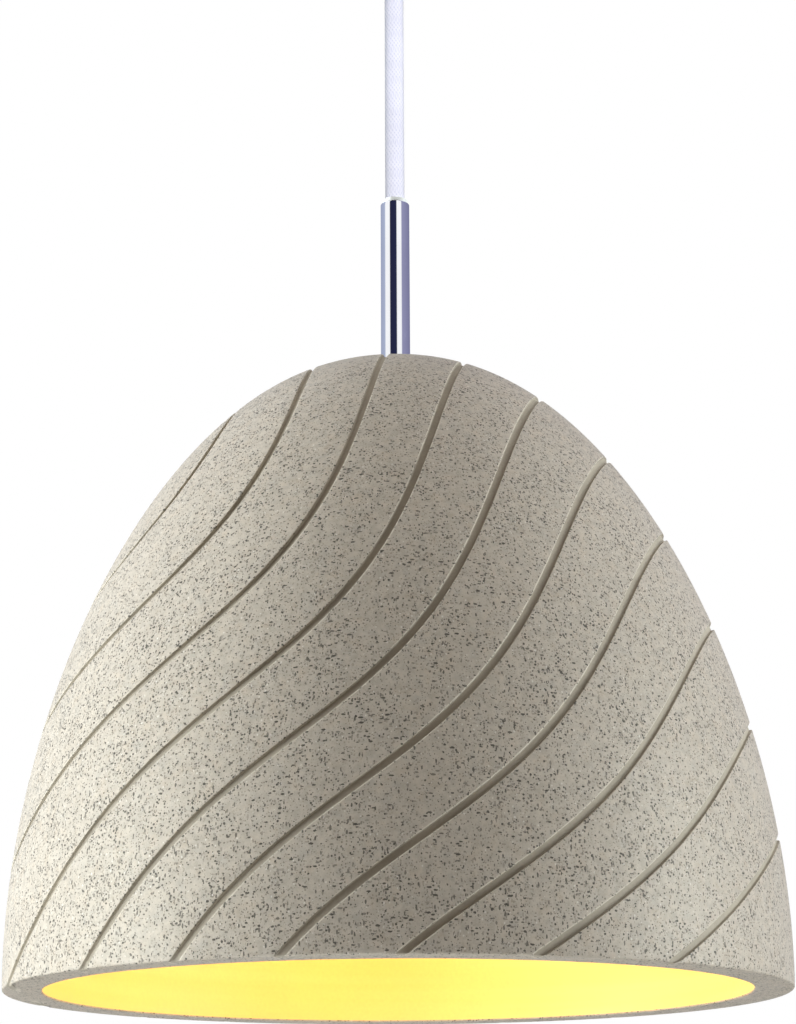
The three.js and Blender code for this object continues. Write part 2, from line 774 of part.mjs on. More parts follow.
function holderCap() {
  const bore = stemRadius + clearance;
  const roof = holderTop - holderNeckLength;
  const bend = holderRadius - holderCapCorner;
  const bendLevel = roof - holderCapCorner;
  const outline = [
    [bore, holderTop],
    [holderNeckRadius, holderTop],
    [holderNeckRadius, roof],
    ...arc(bend, bendLevel, holderCapCorner, Math.PI / 2, 0, 3),
    [holderRadius, holderCapBottom],
    [holderRadius - holderWall, holderCapBottom],
    ...arc(bend, bendLevel, holderCapCorner - holderWall, 0, Math.PI / 2, 3),
    [bore, holderRoof],
    [bore, holderTop],
  ];
  const outside = -holderNeckRadius - past;
  const screwHole = rodAlongY(setScrewRadius + clearance, outside, 0, tiny, 0, holderSetScrewLevel);
  return piece('holder_cap', 'whitePlastic', cut(turned(outline, round), screwHole));
}

function holderSetScrew() {
  const inside = -stemRadius - clearance;
  const body = rodAlongY(setScrewRadius, -holderNeckRadius, inside, tiny, 0, holderSetScrewLevel);
  return piece('holder_set_screw', 'zincSteel', body);
}

function earthTag() {
  const top = holderRoof - clearance;
  const middle = top - earthTagThickness / 2;
  const root = earthTagRadius - past;
  const length = earthTagReach - root;
  const tab = bar(0, root + length / 2, middle, earthTagWidth, length, earthTagThickness);
  const eye = ring(stemRadius + clearance, earthTagRadius, top - earthTagThickness, top, small);
  return piece('earth_tag', 'brass', join(eye, tab));
}

function capNut() {
  const top = holderRoof - earthTagThickness - 2 * clearance;
  return piece('cap_nut', 'zincSteel',
    hexNut(capNutRadius, stemRadius + clearance, top - capNutThickness, top));
}

function holderCore() {
  const radius = holderRadius - holderWall - clearance;
  const floor = coreTop - coreScrewDepth;
  const holes = [-1, 1].map((way) =>
    rod(coreScrewRadius + clearance, floor, coreTop + past, tiny, way * coreScrewOffset, 0),
  );
  const eye = rod(centreContactShank + clearance, coreBottom - past, coreTop + past, tiny);
  return piece('holder_core', 'porcelain', cut(rod(radius, coreBottom, coreTop, round), eye, ...holes));
}

function coreScrew(name, way) {
  const head = coreTop + clearance;
  const tip = coreTop - coreScrewDepth + clearance;
  const outline = [
    [0, tip],
    [coreScrewRadius, tip],
    [coreScrewRadius, head],
    [coreScrewHeadRadius, head],
    [coreScrewHeadRadius, head + coreScrewHeadHeight * 0.6],
    [coreScrewHeadRadius * 0.7, head + coreScrewHeadHeight],
    [0, head + coreScrewHeadHeight],
  ];
  return piece(name, 'brass', turned(outline, tiny).translate(way * coreScrewOffset, 0, 0));
}

function holderShell() {
  const top = holderCapBottom - clearance;
  const bottom = top - holderShellLength;
  const mouth = holderRadius + holderShellFlare;
  const seat = coreBottom - clearance;
  const inner = holderRadius - holderWall;
  const outline = [
    [inner, top],
    [holderRadius, top],
    [holderRadius, seat],
    [mouth, bottom + 2],
    [mouth, bottom],
    [mouth - holderWall, bottom],
    [mouth - holderWall, bottom + 2],
    [inner, seat - holderLedge],
    [threadShellRadius + clearance, seat - holderLedge],
    [threadShellRadius + clearance, seat],
    [inner, seat],
    [inner, top],
  ];
  return piece('holder_shell', 'whitePlastic', turned(outline, round));
}

function threadShell() {
  const inner = threadShellRadius - threadShellWall;
  const roof = threadShellTop - threadShellWall;
  const bottom = threadShellTop - threadShellLength;
  const eye = centreContactShank + centreContactMargin;
  const outline = [
    [eye, threadShellTop],
    [threadShellRadius, threadShellTop],
    [threadShellRadius, bottom],
    [inner, bottom],
    [inner, roof],
    [eye, roof],
    [eye, threadShellTop],
  ];
  return piece('thread_shell', 'brass', turned(outline, round));
}

function centreContact() {
  const bottom = centreContactTop - centreContactDrop;
  const outline = [
    [0, coreTop],
    [centreContactShank, coreTop],
    [centreContactShank, centreContactTop],
    [centreContactRadius, centreContactTop],
    [centreContactRadius, bottom + 1],
    [centreContactRadius * 0.6, bottom],
    [0, bottom],
  ];
  return piece('centre_contact', 'brass', turned(outline, tiny));
}

function cordTail() {
  return piece('cord_tail', 'whiteBraid', rod(cordRadius, cordEnd, bushTop, cordSides));
}

function lampWire(name, finish, way) {
  const start = cordEnd - clearance;
  const startX = way * (wireRadius + clearance) * 1.1;
  const end = way * (coreScrewOffset - coreScrewHeadRadius - clearance);
  const lay = coreTop + wireRadius + clearance;
  return piece(name, finish, wire([
    [startX, -0.6, start],
    [startX, -0.6, start - 1.5],
    [startX + way * 1.2, -0.5, (start + lay) / 2],
    [(startX + end) / 2 + way * 0.6, -0.2, lay + 0.8],
    [end, 0, lay],
  ]));
}

function earthWire() {
  const start = cordEnd - clearance;
  const end = holderRoof - earthTagThickness - 2 * clearance;
  const reach = earthTagReach - wireRadius - 0.8;
  return piece('lamp_wire_earth', 'greenWire', wire([
    [0, wireRadius + clearance, start],
    [0, wireRadius + clearance + 0.2, start - 1.2],
    [0, reach * 0.6, start - 2.6],
    [0, reach - 0.6, start - 0.4],
    [0, reach, (start + end) / 2],
    [0, reach, end],
  ]));
}

// ---------------------------------------------------------------------------------------------------------
// Bulb, with the top of its tip as the origin
// ---------------------------------------------------------------------------------------------------------

const insulatorTop = -bulbTipHeight - clearance;
const bulbCapTop = insulatorTop - bulbInsulatorHeight / 2;
const bulbCapBottom = bulbCapTop - bulbCapLength;
const bulbBodyTop = bulbCapBottom - clearance;
const bulbBodyBottom = bulbBodyTop - bulbBodyLength;
const ledBoardTop = bulbBodyBottom - clearance;
const insulatorRadius = bulbCapRadius - bulbCapWall - 1.6;

function bulbTip() {
  const outline = [
    [0, 0],
    [bulbTipRadius * 0.6, -bulbTipHeight * 0.1],
    [bulbTipRadius, -bulbTipHeight * 0.6],
    [bulbTipRadius, -bulbTipHeight],
    [0, -bulbTipHeight],
  ];
  return piece('bulb_tip', 'zincSteel', turned(outline, small));
}

function bulbInsulator() {
  const bottom = insulatorTop - bulbInsulatorHeight;
  const outline = [
    [0, insulatorTop],
    [bulbTipRadius + 1, insulatorTop],
    [insulatorRadius, bottom + 1],
    [insulatorRadius, bottom],
    [0, bottom],
  ];
  return piece('bulb_insulator', 'blackGlass', turned(outline, round));
}

function bulbCap() {
  const eye = insulatorRadius + clearance;
  const inner = bulbCapRadius - bulbCapWall;
  const outline = [
    [eye, bulbCapTop],
    [eye + bulbCapWall, bulbCapTop],
    [bulbCapRadius, bulbCapTop - 1.6],
    [bulbCapRadius, bulbCapBottom],
    [inner, bulbCapBottom],
    [inner, bulbCapTop - 2],
    [eye, bulbCapTop - 0.8],
    [eye, bulbCapTop],
  ];
  return piece('bulb_cap', 'zincSteel', turned(outline, round));
}

function bulbBody() {
  const spigot = bulbCapRadius - bulbCapWall - clearance;
  const outline = [
    [spigot - bulbBodyWall, bulbBodyTop + bulbSpigotLength],
    [spigot, bulbBodyTop + bulbSpigotLength],
    [spigot, bulbBodyTop],
    [bulbNeckRadius, bulbBodyTop],
    [bulbNeckRadius, bulbBodyTop - bulbNeckLength],
    [bulbShoulderRadius, bulbBodyBottom],
    [bulbShoulderRadius - bulbBodyWall, bulbBodyBottom],
    [bulbNeckRadius - bulbBodyWall, bulbBodyTop - bulbNeckLength],
    [spigot - bulbBodyWall, bulbBodyTop],
    [spigot - bulbBodyWall, bulbBodyTop + bulbSpigotLength],
  ];
  return piece('bulb_body', 'whitePlastic', turned(outline, round));
}

function driverBoard() {
  const middle = bulbBodyBottom + driverBoardLength / 2;
  const board = bar(0, 0, middle, driverBoardWidth, driverBoardThickness, driverBoardLength);
  const parts = driverParts.map(({ x, drop, width, length }) =>
    bar(x, driverPartHeight / 2, middle - drop, width, driverPartHeight, length),
  );
  return piece('driver_board', 'greenBoard', join(board, ...parts));
}

function ledBoard() {
  const radius = bulbShoulderRadius - bulbGlobeWall - clearance;
  const low = ledBoardTop - ledBoardThickness;
  const chips = Array.from({ length: ledCount }, (_, i) => {
    const angle = (turn * i) / ledCount;
    const chip = bar(ledRingRadius, 0, low, ledSize, ledSize, 2 * ledHeight);
    return chip.rotateZ(angle);
  });
  return piece('led_board', 'whiteBoard', join(rod(radius, low, ledBoardTop, round), ...chips));
}

function bulbGlobe() {
  const neckAngle = Math.acos(bulbShoulderRadius / bulbGlobeRadius);
  const centre = ledBoardTop - bulbGlobeRadius * Math.sin(neckAngle);
  const inner = bulbGlobeRadius - bulbGlobeWall;
  const innerAngle = Math.asin((ledBoardTop - centre) / bulbGlobeRadius);
  const outline = [
    ...arc(0, centre, bulbGlobeRadius, -Math.PI / 2, neckAngle, 9),
    ...arc(0, centre, inner, innerAngle, -Math.PI / 2, 8),
  ];
  outline[0][0] = 0;
  outline[outline.length - 1][0] = 0;
  return piece('bulb_globe', 'opalGlass', turned(outline, round));
}

// ---------------------------------------------------------------------------------------------------------
// The lamp
// ---------------------------------------------------------------------------------------------------------

const ceilingMount = new THREE.Group();
ceilingMount.add(
  mountingBracket(),
  canopyCup(),
  canopyScrew('canopy_screw_left', -1),
  canopyScrew('canopy_screw_right', 1),
  terminalBlock(),
  blockScrew('block_screw_left', -1),
  blockScrew('block_screw_right', 1),
  earthScrew(),
  supplyWire('live', 'brownWire'),
  supplyWire('neutral', 'blueWire'),
  supplyWire('earth', 'greenWire'),
  cordGrip(),
  gripSetScrew(),
  gripWasher(),
  gripNut(),
  cordHead(),
);
for (const pole of Object.keys(poles)) {
  ceilingMount.add(terminalBarrel(pole), terminalScrew(pole, 'lamp', -1), terminalScrew(pole, 'mains', 1));
}

const bulb = new THREE.Group();
bulb.position.z = bulbTop;
bulb.add(bulbTip(), bulbInsulator(), bulbCap(), bulbBody(), driverBoard(), ledBoard(), bulbGlobe());

const pendant = new THREE.Group();
pendant.add(
  cordBush(),
  stemTube(),
  washer('seat_washer', 'chrome', seatWasherRadius, seatWasherTop, seatWasherThickness),
  shade(),
  washer('pad_washer', 'blackRubber', padWasherRadius, padTop, padWasherThickness),
  washer('load_washer', 'zincSteel', loadWasherRadius, loadTop, loadWasherThickness),
  washer('lock_washer', 'zincSteel', lockWasherRadius, lockTop, lockWasherThickness),
  piece('stem_nut', 'zincSteel',
    hexNut(stemNutRadius, stemRadius + clearance, stemNutTop - stemNutThickness, stemNutTop)),
  cordTail(),
  holderCap(),
  holderSetScrew(),
  earthTag(),
  capNut(),
  holderCore(),
  coreScrew('core_screw_left', -1),
  coreScrew('core_screw_right', 1),
  holderShell(),
  threadShell(),
  centreContact(),
  lampWire('lamp_wire_live', 'brownWire', -1),
  lampWire('lamp_wire_neutral', 'blueWire', 1),
  earthWire(),
  bulb,
);

const hanging = new THREE.Group();
hanging.position.z = swivelLevel;
hanging.add(swivelBall(), cord(), pendant);

const lamp = new THREE.Group();
lamp.add(ceilingMount, hanging);

export default lamp;
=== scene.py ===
"""The looks of a pendant light: a stone dome with wavy grooves, on a bright stem and a braided cord.

Metres, +Z up, in the frame of the construction model: the origin is where the bracket lies against
the ceiling, and the lamp hangs below it. Each operator makes one piece or a group of like pieces.
"""

import functools
import math
import bmesh
import bpy
from mathutils import Matrix, Vector
from mathutils.geometry import interpolate_bezier
from mathutils.kdtree import KDTree


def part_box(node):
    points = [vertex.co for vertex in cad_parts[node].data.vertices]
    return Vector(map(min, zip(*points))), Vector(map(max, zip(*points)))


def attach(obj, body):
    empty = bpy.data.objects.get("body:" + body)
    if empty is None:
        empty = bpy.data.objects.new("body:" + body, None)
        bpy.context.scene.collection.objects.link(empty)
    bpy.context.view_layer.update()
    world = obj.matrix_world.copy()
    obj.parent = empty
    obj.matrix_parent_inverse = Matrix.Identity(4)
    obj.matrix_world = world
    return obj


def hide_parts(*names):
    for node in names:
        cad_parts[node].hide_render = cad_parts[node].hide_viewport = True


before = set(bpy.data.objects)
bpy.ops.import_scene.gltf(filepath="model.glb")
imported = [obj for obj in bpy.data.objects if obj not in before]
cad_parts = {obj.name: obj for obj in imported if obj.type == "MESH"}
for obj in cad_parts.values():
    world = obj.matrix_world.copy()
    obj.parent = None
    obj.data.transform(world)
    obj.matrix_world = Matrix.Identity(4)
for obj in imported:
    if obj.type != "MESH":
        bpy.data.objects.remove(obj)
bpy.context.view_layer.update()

bl_info = {
    "name": "Stone Pendant Light",
    "version": (1, 0, 0),
    "blender": (4, 5, 0),
    "location": "View3D > Sidebar > Lamp",
    "description": "Builds a cast stone pendant light around its construction model",
    "category": "Add Mesh",
}

MM = 0.001
TURN = 2 * math.pi
CLEARANCE = 0.3 * MM  # between pieces that touch
DOUBLED = 0.002 * MM  # corners nearer than this are one corner
NEEDLE = 0.001 * MM  # faces thinner than this are dissolved
HAIR = 0.01 * MM  # tolerance when a corner's level is compared
PAN_SLOT = 0.9 * MM
FINE_SLOT = 0.5 * MM


# --------------------------------------------------------------------------------------------------
# Places, read from the construction model
# --------------------------------------------------------------------------------------------------


@functools.cache
def bounds_of(node):
    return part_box(node)


def bottom(node):
    return bounds_of(node)[0].z


def top(node):
    return bounds_of(node)[1].z


def reach(node):
    """How far a node centred on the lamp's axis stands out from it."""
    return max(bounds_of(node)[1].x, bounds_of(node)[1].y)


def middle(node):
    low, high = bounds_of(node)
    return (low + high) / 2


# --------------------------------------------------------------------------------------------------
# What a user would change
# --------------------------------------------------------------------------------------------------


def length(name, description, default):
    return bpy.props.FloatProperty(
        name=name, description=description, default=default, min=0, unit="LENGTH", precision=4
    )


def paint(name, description, default):
    return bpy.props.FloatVectorProperty(
        name=name, description=description, default=default, min=0, max=1, size=3, subtype="COLOR"
    )


class LampSizes(bpy.types.PropertyGroup):
    """Sizes of the lamp's pieces"""

    shade_radius: length("Shade radius", "Outside radius of the shade at its rim", 125 * MM)
    rim_wall: length("Rim wall", "Thickness of the shade at its rim", 12.5 * MM)
    rim_round: length("Rim rounding", "Radius of the rim's two edges", 0.6 * MM)
    groove_width: length("Groove width", "Width of a groove across its lips", 2.4 * MM)
    groove_depth: length("Groove depth", "Depth of a groove under the stone's face", 1 * MM)
    groove_count: bpy.props.IntProperty(
        name="Grooves", description="Number of grooves cut through the shade", default=10, min=1
    )
    groove_spacing: length("Groove spacing", "Distance from one groove to the next", 22.7 * MM)
    groove_lean: bpy.props.FloatProperty(
        name="Groove lean",
        description="Slope of the lines that the grooves wave about, seen from the front",
        default=math.radians(48.1),
        subtype="ANGLE",
    )
    wave_height: length("Wave height", "How far a groove waves to either side", 6.8 * MM)
    wave_length: length("Wave length", "Length of one wave of a groove", 192 * MM)
    stem_radius: length("Stem radius", "Outside radius of the stem tube", reach("stem_tube"))
    cord_radius: length("Cord radius", "Outside radius of the braided cord", reach("cord"))
    yarn_relief: length("Yarn relief", "How far a yarn of the braid stands out", 0.1 * MM)
    canopy_radius: length("Canopy radius", "Outside radius of the ceiling canopy", reach("canopy_cup"))


class LampColours(bpy.types.PropertyGroup):
    """Colours of the lamp's finishes"""

    stone: paint("Stone", "Face of the cast stone", (0.48, 0.42, 0.352))
    # The groove floor's darker colour is partly the cut floor's own smoother brown and partly painted
    # shade of the recess
    groove: paint("Groove", "Floor of the grooves", (0.41, 0.36, 0.29))
    fleck: paint("Fleck", "Dark grains in the stone", (0.045, 0.04, 0.033))
    # The lining's yellow is painted warm light from the bulb on a pale coating
    lining: paint("Lining", "Inside of the shade", (0.86, 0.7, 0.29))
    chrome: paint("Chrome", "Stem, canopy and cord grip", (0.9, 0.91, 0.94))
    cord: paint("Cord", "Braid of the cord", (0.8, 0.81, 0.93))
    plastic: paint("Plastic", "Lampholder, bush and bulb body", (0.86, 0.86, 0.84))
    glow: paint("Glow", "Light of the bulb", (1.0, 0.61, 0.19))


# --------------------------------------------------------------------------------------------------
# Modelling
# --------------------------------------------------------------------------------------------------


def deselect():
    if bpy.context.object and bpy.context.object.mode != "OBJECT":
        bpy.ops.object.mode_set(mode="OBJECT")
    bpy.ops.object.select_all(action="DESELECT")


def activate(piece):
    deselect()
    piece.select_set(True)
    bpy.context.view_layer.objects.active = piece


def edit(piece, chosen=None):
    """Opens a piece in edit mode, with all of it selected, or only the faces that chosen says."""
    activate(piece)
    bpy.ops.object.mode_set(mode="EDIT")
    if chosen is None:
        bpy.ops.mesh.select_mode(type="VERT")
        bpy.ops.mesh.select_all(action="SELECT")
        return
    bpy.ops.mesh.select_mode(type="FACE")
    bpy.ops.mesh.select_all(action="DESELECT")
    mesh = bmesh.from_edit_mesh(piece.data)
    for face in mesh.faces:
        face.select_set(chosen(face))
    bmesh.update_edit_mesh(piece.data)


def close_edit():
    bpy.ops.object.mode_set(mode="OBJECT")


def chain(name, points):
    """A line of edges through the points, left open in edit mode."""
    deselect()
    bpy.ops.mesh.primitive_plane_add(size=MM)
    piece = named(bpy.context.object, name)
    edit(piece)
    bpy.ops.mesh.merge(type="CENTER")
    bpy.ops.transform.translate(value=points[0])
    for here, there in zip(points, points[1:]):
        step = Vector(there) - Vector(here)
        bpy.ops.mesh.extrude_vertices_move(TRANSFORM_OT_translate={"value": step})
    return piece


def tidy_skin():
    """Joins doubled corners, turns every face outwards and leaves edit mode."""
    bpy.ops.mesh.select_all(action="SELECT")
    bpy.ops.mesh.remove_doubles(threshold=DOUBLED)
    bpy.ops.mesh.normals_make_consistent(inside=False)
    close_edit()


def spun(name, outline, steps=72):
    """A body turned about the lamp's axis from an outline of (radius, height) corners."""
    piece = chain(name, [(radius, 0, height) for radius, height in outline])
    bpy.ops.mesh.select_all(action="SELECT")
    bpy.ops.mesh.spin(steps=steps, angle=TURN, center=(0, 0, 0), axis=(0, 0, 1))
    tidy_skin()
    return piece


def ring(name, inner, outer, low, high, steps=72):
    outline = [(inner, low), (outer, low), (outer, high), (inner, high), (inner, low)]
    return spun(name, outline, steps)


def named(piece, name):
    piece.name = name
    piece.data.name = name
    return piece


def drum(name, radius, low, high, steps=48, place=(0, 0)):
    """A plain round body along Z."""
    deselect()
    bpy.ops.mesh.primitive_cylinder_add(
        vertices=steps, radius=radius, depth=high - low, location=(*place, (low + high) / 2)
    )
    piece = named(bpy.context.object, name)
    bpy.ops.object.transform_apply(location=True, rotation=True, scale=True)
    return piece


def block(name, centre, size):
    deselect()
    bpy.ops.mesh.primitive_cube_add(size=1, location=centre)
    piece = named(bpy.context.object, name)
    piece.scale = size
    bpy.ops.object.transform_apply(location=True, rotation=True, scale=True)
    return piece


def turn_piece(piece, angle, axis):
    """Turns a piece's mesh about the origin."""
    piece.data.transform(Matrix.Rotation(angle, 4, axis))
    return piece


def move_piece(piece, shift):
    piece.data.transform(Matrix.Translation(shift))
    return piece


def combine(piece, tool, operation):
    activate(piece)
    step = piece.modifiers.new("Combine", "BOOLEAN")
    step.operation = operation
    step.solver = "EXACT"
    step.object = tool
    bpy.ops.object.modifier_apply(modifier=step.name)
    bpy.data.objects.remove(tool)
    return piece


def carve(piece, *tools):
    for tool in tools:
        combine(piece, tool, "DIFFERENCE")
    return piece


def drill(piece, radius, low, high, steps=48, place=(0, 0)):
    """Drills a round hole along Z, right through what lies between two levels."""
    return carve(piece, drum("cutter", radius, low - MM, high + MM, steps, place))


def soften(piece, width, angle=30):
    """Rounds a piece's edges where its faces turn by more than an angle, in degrees."""
    activate(piece)
    step = piece.modifiers.new("Soften", "BEVEL")
    step.width = width
    step.segments = 3
    step.limit_method = "ANGLE"
    step.angle_limit = math.radians(angle)
    step.use_clamp_overlap = True
    bpy.ops.object.modifier_apply(modifier=step.name)
    edit(piece)
    bpy.ops.mesh.remove_doubles(threshold=DOUBLED)
    bpy.ops.mesh.dissolve_degenerate(threshold=NEEDLE)
    close_edit()
    return piece


def copy_piece(piece, name):
    activate(piece)
    bpy.ops.object.duplicate()
    return named(bpy.context.object, name)


def finish_piece(piece, finish, body, node, angle=32):
    """Smooths a piece, gives it its material, ties it to its body and hides the node it stands for."""
    activate(piece)
    bpy.ops.object.shade_smooth_by_angle(angle=math.radians(angle))
    piece.data.materials.clear()
    piece.data.materials.append(material(finish))
    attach(piece, body)
    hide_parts(node)
    return piece


def rounded_end(radius, corner, low, steps=5):
    """Outline of a round end on the axis: out along its bottom and round its corner."""
    outline = [(0, low)]
    for i in range(steps + 1):
        angle = math.pi / 2 * i / steps
        outline.append(
            (radius - corner + corner * math.sin(angle), low + corner - corner * math.cos(angle))
        )
    return outline


def arc(centre_radius, centre_height, radius, start, end, steps):
    """Points of an arc in the (radius, height) plane, both ends included; its angles are in degrees."""
    angles = [math.radians(start + (end - start) * i / steps) for i in range(steps + 1)]
    return [
        (centre_radius + radius * math.cos(angle), centre_height + radius * math.sin(angle))
        for angle in angles
    ]


def ease(share):
    """A share from 0 to 1 that starts and ends gently."""
    return share * share * (3 - 2 * share)


def stretch(radius, start, end, step):
    """Evenly spaced points straight up or down a wall."""
    count = max(1, round(abs(end - start) / step))
    return [(radius, start + (end - start) * i / count) for i in range(count + 1)]


# --------------------------------------------------------------------------------------------------
# Materials
# --------------------------------------------------------------------------------------------------

GLOW_STRENGTH = 18.0  # of the lit globe


def add_node(tree, kind, settings=None, **sockets):
    """A node with its settings, and its inputs set or linked by name."""
    made = tree.nodes.new(kind)
    for name, value in (settings or {}).items():
        setattr(made, name, value)
    for name, value in sockets.items():
        plug(tree, made, name.replace("_", " "), value)
    return made


def plug(tree, node, name, value):
    socket = node.inputs[name]
    if isinstance(value, bpy.types.NodeSocket):
        tree.links.new(value, socket)
    else:
        socket.default_value = value


def calculate(tree, operation, first, second=0.0, clamp=False):
    made = tree.nodes.new("ShaderNodeMath")
    made.operation = operation
    made.use_clamp = clamp
    for i, value in enumerate((first, second)):
        plug(tree, made, i, value)
    return made.outputs[0]


def multiply(tree, first, second):
    return calculate(tree, "MULTIPLY", first, second)


def blend_colours(tree, share, first, second, mode="MIX"):
    made = tree.nodes.new("ShaderNodeMix")
    made.data_type = "RGBA"
    made.blend_type = mode
    plug(tree, made, 0, share)
    for i, value in ((6, first), (7, second)):  # the mix node's two colour inputs
        linked = isinstance(value, bpy.types.NodeSocket)
        plug(tree, made, i, value if linked else (*value, 1))
    return made.outputs[2]


def map_range(tree, value, low, high, to_low=0.0, to_high=1.0):
    made = add_node(
        tree,
        "ShaderNodeMapRange",
        {"interpolation_type": "SMOOTHSTEP"},
        Value=value,
        From_Min=low,
        From_Max=high,
        To_Min=to_low,
        To_Max=to_high,
    )
    return made.outputs["Result"]


def noise(tree, place, scale, detail=2.0, roughness=0.5):
    made = add_node(
        tree, "ShaderNodeTexNoise", Vector=place, Scale=scale, Detail=detail, Roughness=roughness
    )
    return made.outputs["Fac"]


def stretched(tree, place, scale):
    return add_node(tree, "ShaderNodeMapping", Vector=place, Scale=scale).outputs["Vector"]


def new_group(name, inputs, outputs):
    """An empty node group with named inputs and outputs, each a (name, kind, default)."""
    group = bpy.data.node_groups.new(name, "ShaderNodeTree")
    for direction, sockets in (("INPUT", inputs), ("OUTPUT", outputs)):
        for label, kind, default in sockets:
            made = group.interface.new_socket(
                name=label, in_out=direction, socket_type=f"NodeSocket{kind}"
            )
            if default is not None:
                made.default_value = default
    return group, group.nodes.new("NodeGroupInput").outputs, group.nodes.new("NodeGroupOutput").inputs


GRAIN_BEND = 0.3 * MM  # how far a grain's edge wanders


def grain_group():
    """Grains cast into a solid: cells cut by the surface, each of its own size, in uneven patches."""
    group, given, result = new_group(
        "Cast grains",
        [
            ("Vector", "Vector", None),
            ("Turn", "Vector", None),
            ("Stretch", "Vector", (1, 1, 1)),
            ("Spacing", "Float", 0.0018),
            ("Size", "Float", 0.3),
            ("Patch", "Float", 0.5),
        ],
        [("Mask", "Float", None), ("Tone", "Float", None)],
    )
    turned = add_node(
        group,
        "ShaderNodeMapping",
        Vector=given["Vector"],
        Rotation=given["Turn"],
        Scale=given["Stretch"],
    )
    per_metre = calculate(group, "DIVIDE", 1.0, given["Spacing"])
    wander = add_node(
        group, "ShaderNodeTexNoise", Vector=given["Vector"], Scale=1500.0, Detail=1.0
    )
    bent = add_node(group, "ShaderNodeVectorMath", {"operation": "MULTIPLY_ADD"})
    plug(group, bent, 0, wander.outputs["Color"])
    plug(group, bent, 1, (GRAIN_BEND, GRAIN_BEND, GRAIN_BEND))
    plug(group, bent, 2, turned.outputs["Vector"])
    cells = add_node(
        group, "ShaderNodeTexVoronoi", Vector=bent.outputs["Vector"], Scale=per_metre, Randomness=1.0
    )
    own = add_node(group, "ShaderNodeSeparateColor", Color=cells.outputs["Color"])
    share = map_range(group, noise(group, given["Vector"], 70.0, roughness=0.6), 0.36, 0.62)
    thinned = multiply(group, given["Patch"], calculate(group, "SUBTRACT", 1.0, share))
    kept = calculate(group, "SUBTRACT", own.outputs["Red"], thinned)
    wide = multiply(group, calculate(group, "MAXIMUM", kept, 0.0), given["Size"])
    deep = calculate(group, "SUBTRACT", wide, cells.outputs["Distance"])
    group.links.new(map_range(group, deep, -0.012, 0.03), result["Mask"])
    group.links.new(own.outputs["Green"], result["Tone"])
    return group


NOISE_SPAN = (0.3, 0.7)  # where nearly all values of a noise lie


def tint_group():
    """A value that drifts unevenly over a surface, at one coarse scale and one fine one."""
    group, given, result = new_group(
        "Uneven tint",
        [
            ("Vector", "Vector", None),
            ("Coarse", "Float", 40.0),
            ("Fine", "Float", 900.0),
            ("Low", "Float", 0.9),
            ("High", "Float", 1.1),
        ],
        [("Value", "Float", None), ("Grain", "Float", None)],
    )
    coarse = noise(group, given["Vector"], given["Coarse"], 3.0)
    fine = noise(group, given["Vector"], given["Fine"])
    both = calculate(group, "ADD", multiply(group, coarse, 0.65), multiply(group, fine, 0.35))
    spread = map_range(group, both, *NOISE_SPAN, given["Low"], given["High"])
    group.links.new(spread, result["Value"])
    group.links.new(fine, result["Grain"])
    return group


def group_node(tree, make, **sockets):
    """Places a shared group in a material, built the first time that it is needed."""
    if make not in group_node.built:
        group_node.built[make] = make()
    placed = tree.nodes.new("ShaderNodeGroup")
    placed.node_tree = group_node.built[make]
    for name, value in sockets.items():
        plug(tree, placed, name.replace("_", " "), value)
    return placed.outputs


group_node.built = {}


def tinted(tree, place, colour, low=0.94, high=1.06, coarse=40.0, fine=900.0):
    """A colour that drifts a little, and its fine grain."""
    drift = group_node(tree, tint_group, Vector=place, Coarse=coarse, Fine=fine, Low=low, High=high)
    scaled = add_node(tree, "ShaderNodeVectorMath", {"operation": "SCALE"}, Scale=drift["Value"])
    scaled.inputs[0].default_value = tuple(colour)
    return scaled.outputs["Vector"], drift["Grain"]


def start_material(name):
    made = bpy.data.materials.new(name)
    made.use_nodes = True
    tree = made.node_tree
    place = tree.nodes.new("ShaderNodeTexCoord").outputs["Object"]
    return made, tree, place, tree.nodes["Principled BSDF"]


def set_relief(tree, shader, height, distance, strength=1.0):
    made = add_node(tree, "ShaderNodeBump", Height=height, Distance=distance, Strength=strength)
    plug(tree, shader, "Normal", made.outputs["Normal"])


def set_roughness(tree, shader, grain, low, high):
    plug(tree, shader, "Roughness", map_range(tree, grain, *NOISE_SPAN, low, high))


def grained(tree, mask, first, last, share, under, over, mode="MIX"):
    """Lays one colour over another where a mask runs from its first value to its last."""
    strength = multiply(tree, map_range(tree, mask, first, last), share)
    return blend_colours(tree, strength, under, over, mode)


# Layers of grains: how the cells are turned and stretched, their spacing, size and patchiness, and for
# the dark ones how dark the darkest is
DARK_GRAINS = (
    ((0.3, 0.9, 0.2), (1.0, 0.38, 0.9), 0.9 * MM, 0.41, 0.14, 1.0),
    ((1.2, 0.1, 0.8), (0.4, 1.0, 0.9), 0.85 * MM, 0.39, 0.14, 1.0),
    ((0.7, 2.0, 1.5), (0.9, 0.9, 0.38), 0.8 * MM, 0.39, 0.14, 0.9),
    ((2.2, 0.5, 0.4), (0.9, 0.5, 0.9), 0.6 * MM, 0.46, 0.14, 0.6),
)
PALE_GRAINS = ((2.1, 0.4, 0.9), (0.9, 0.9, 0.7), 1.2 * MM, 0.24, 0.2)


def grain_layer(tree, place, turn, stretch_by, spacing, size, patch):
    return group_node(
        tree,
        grain_group,
        Vector=place,
        Turn=turn,
        Stretch=stretch_by,
        Spacing=spacing,
        Size=size,
        Patch=patch,
    )


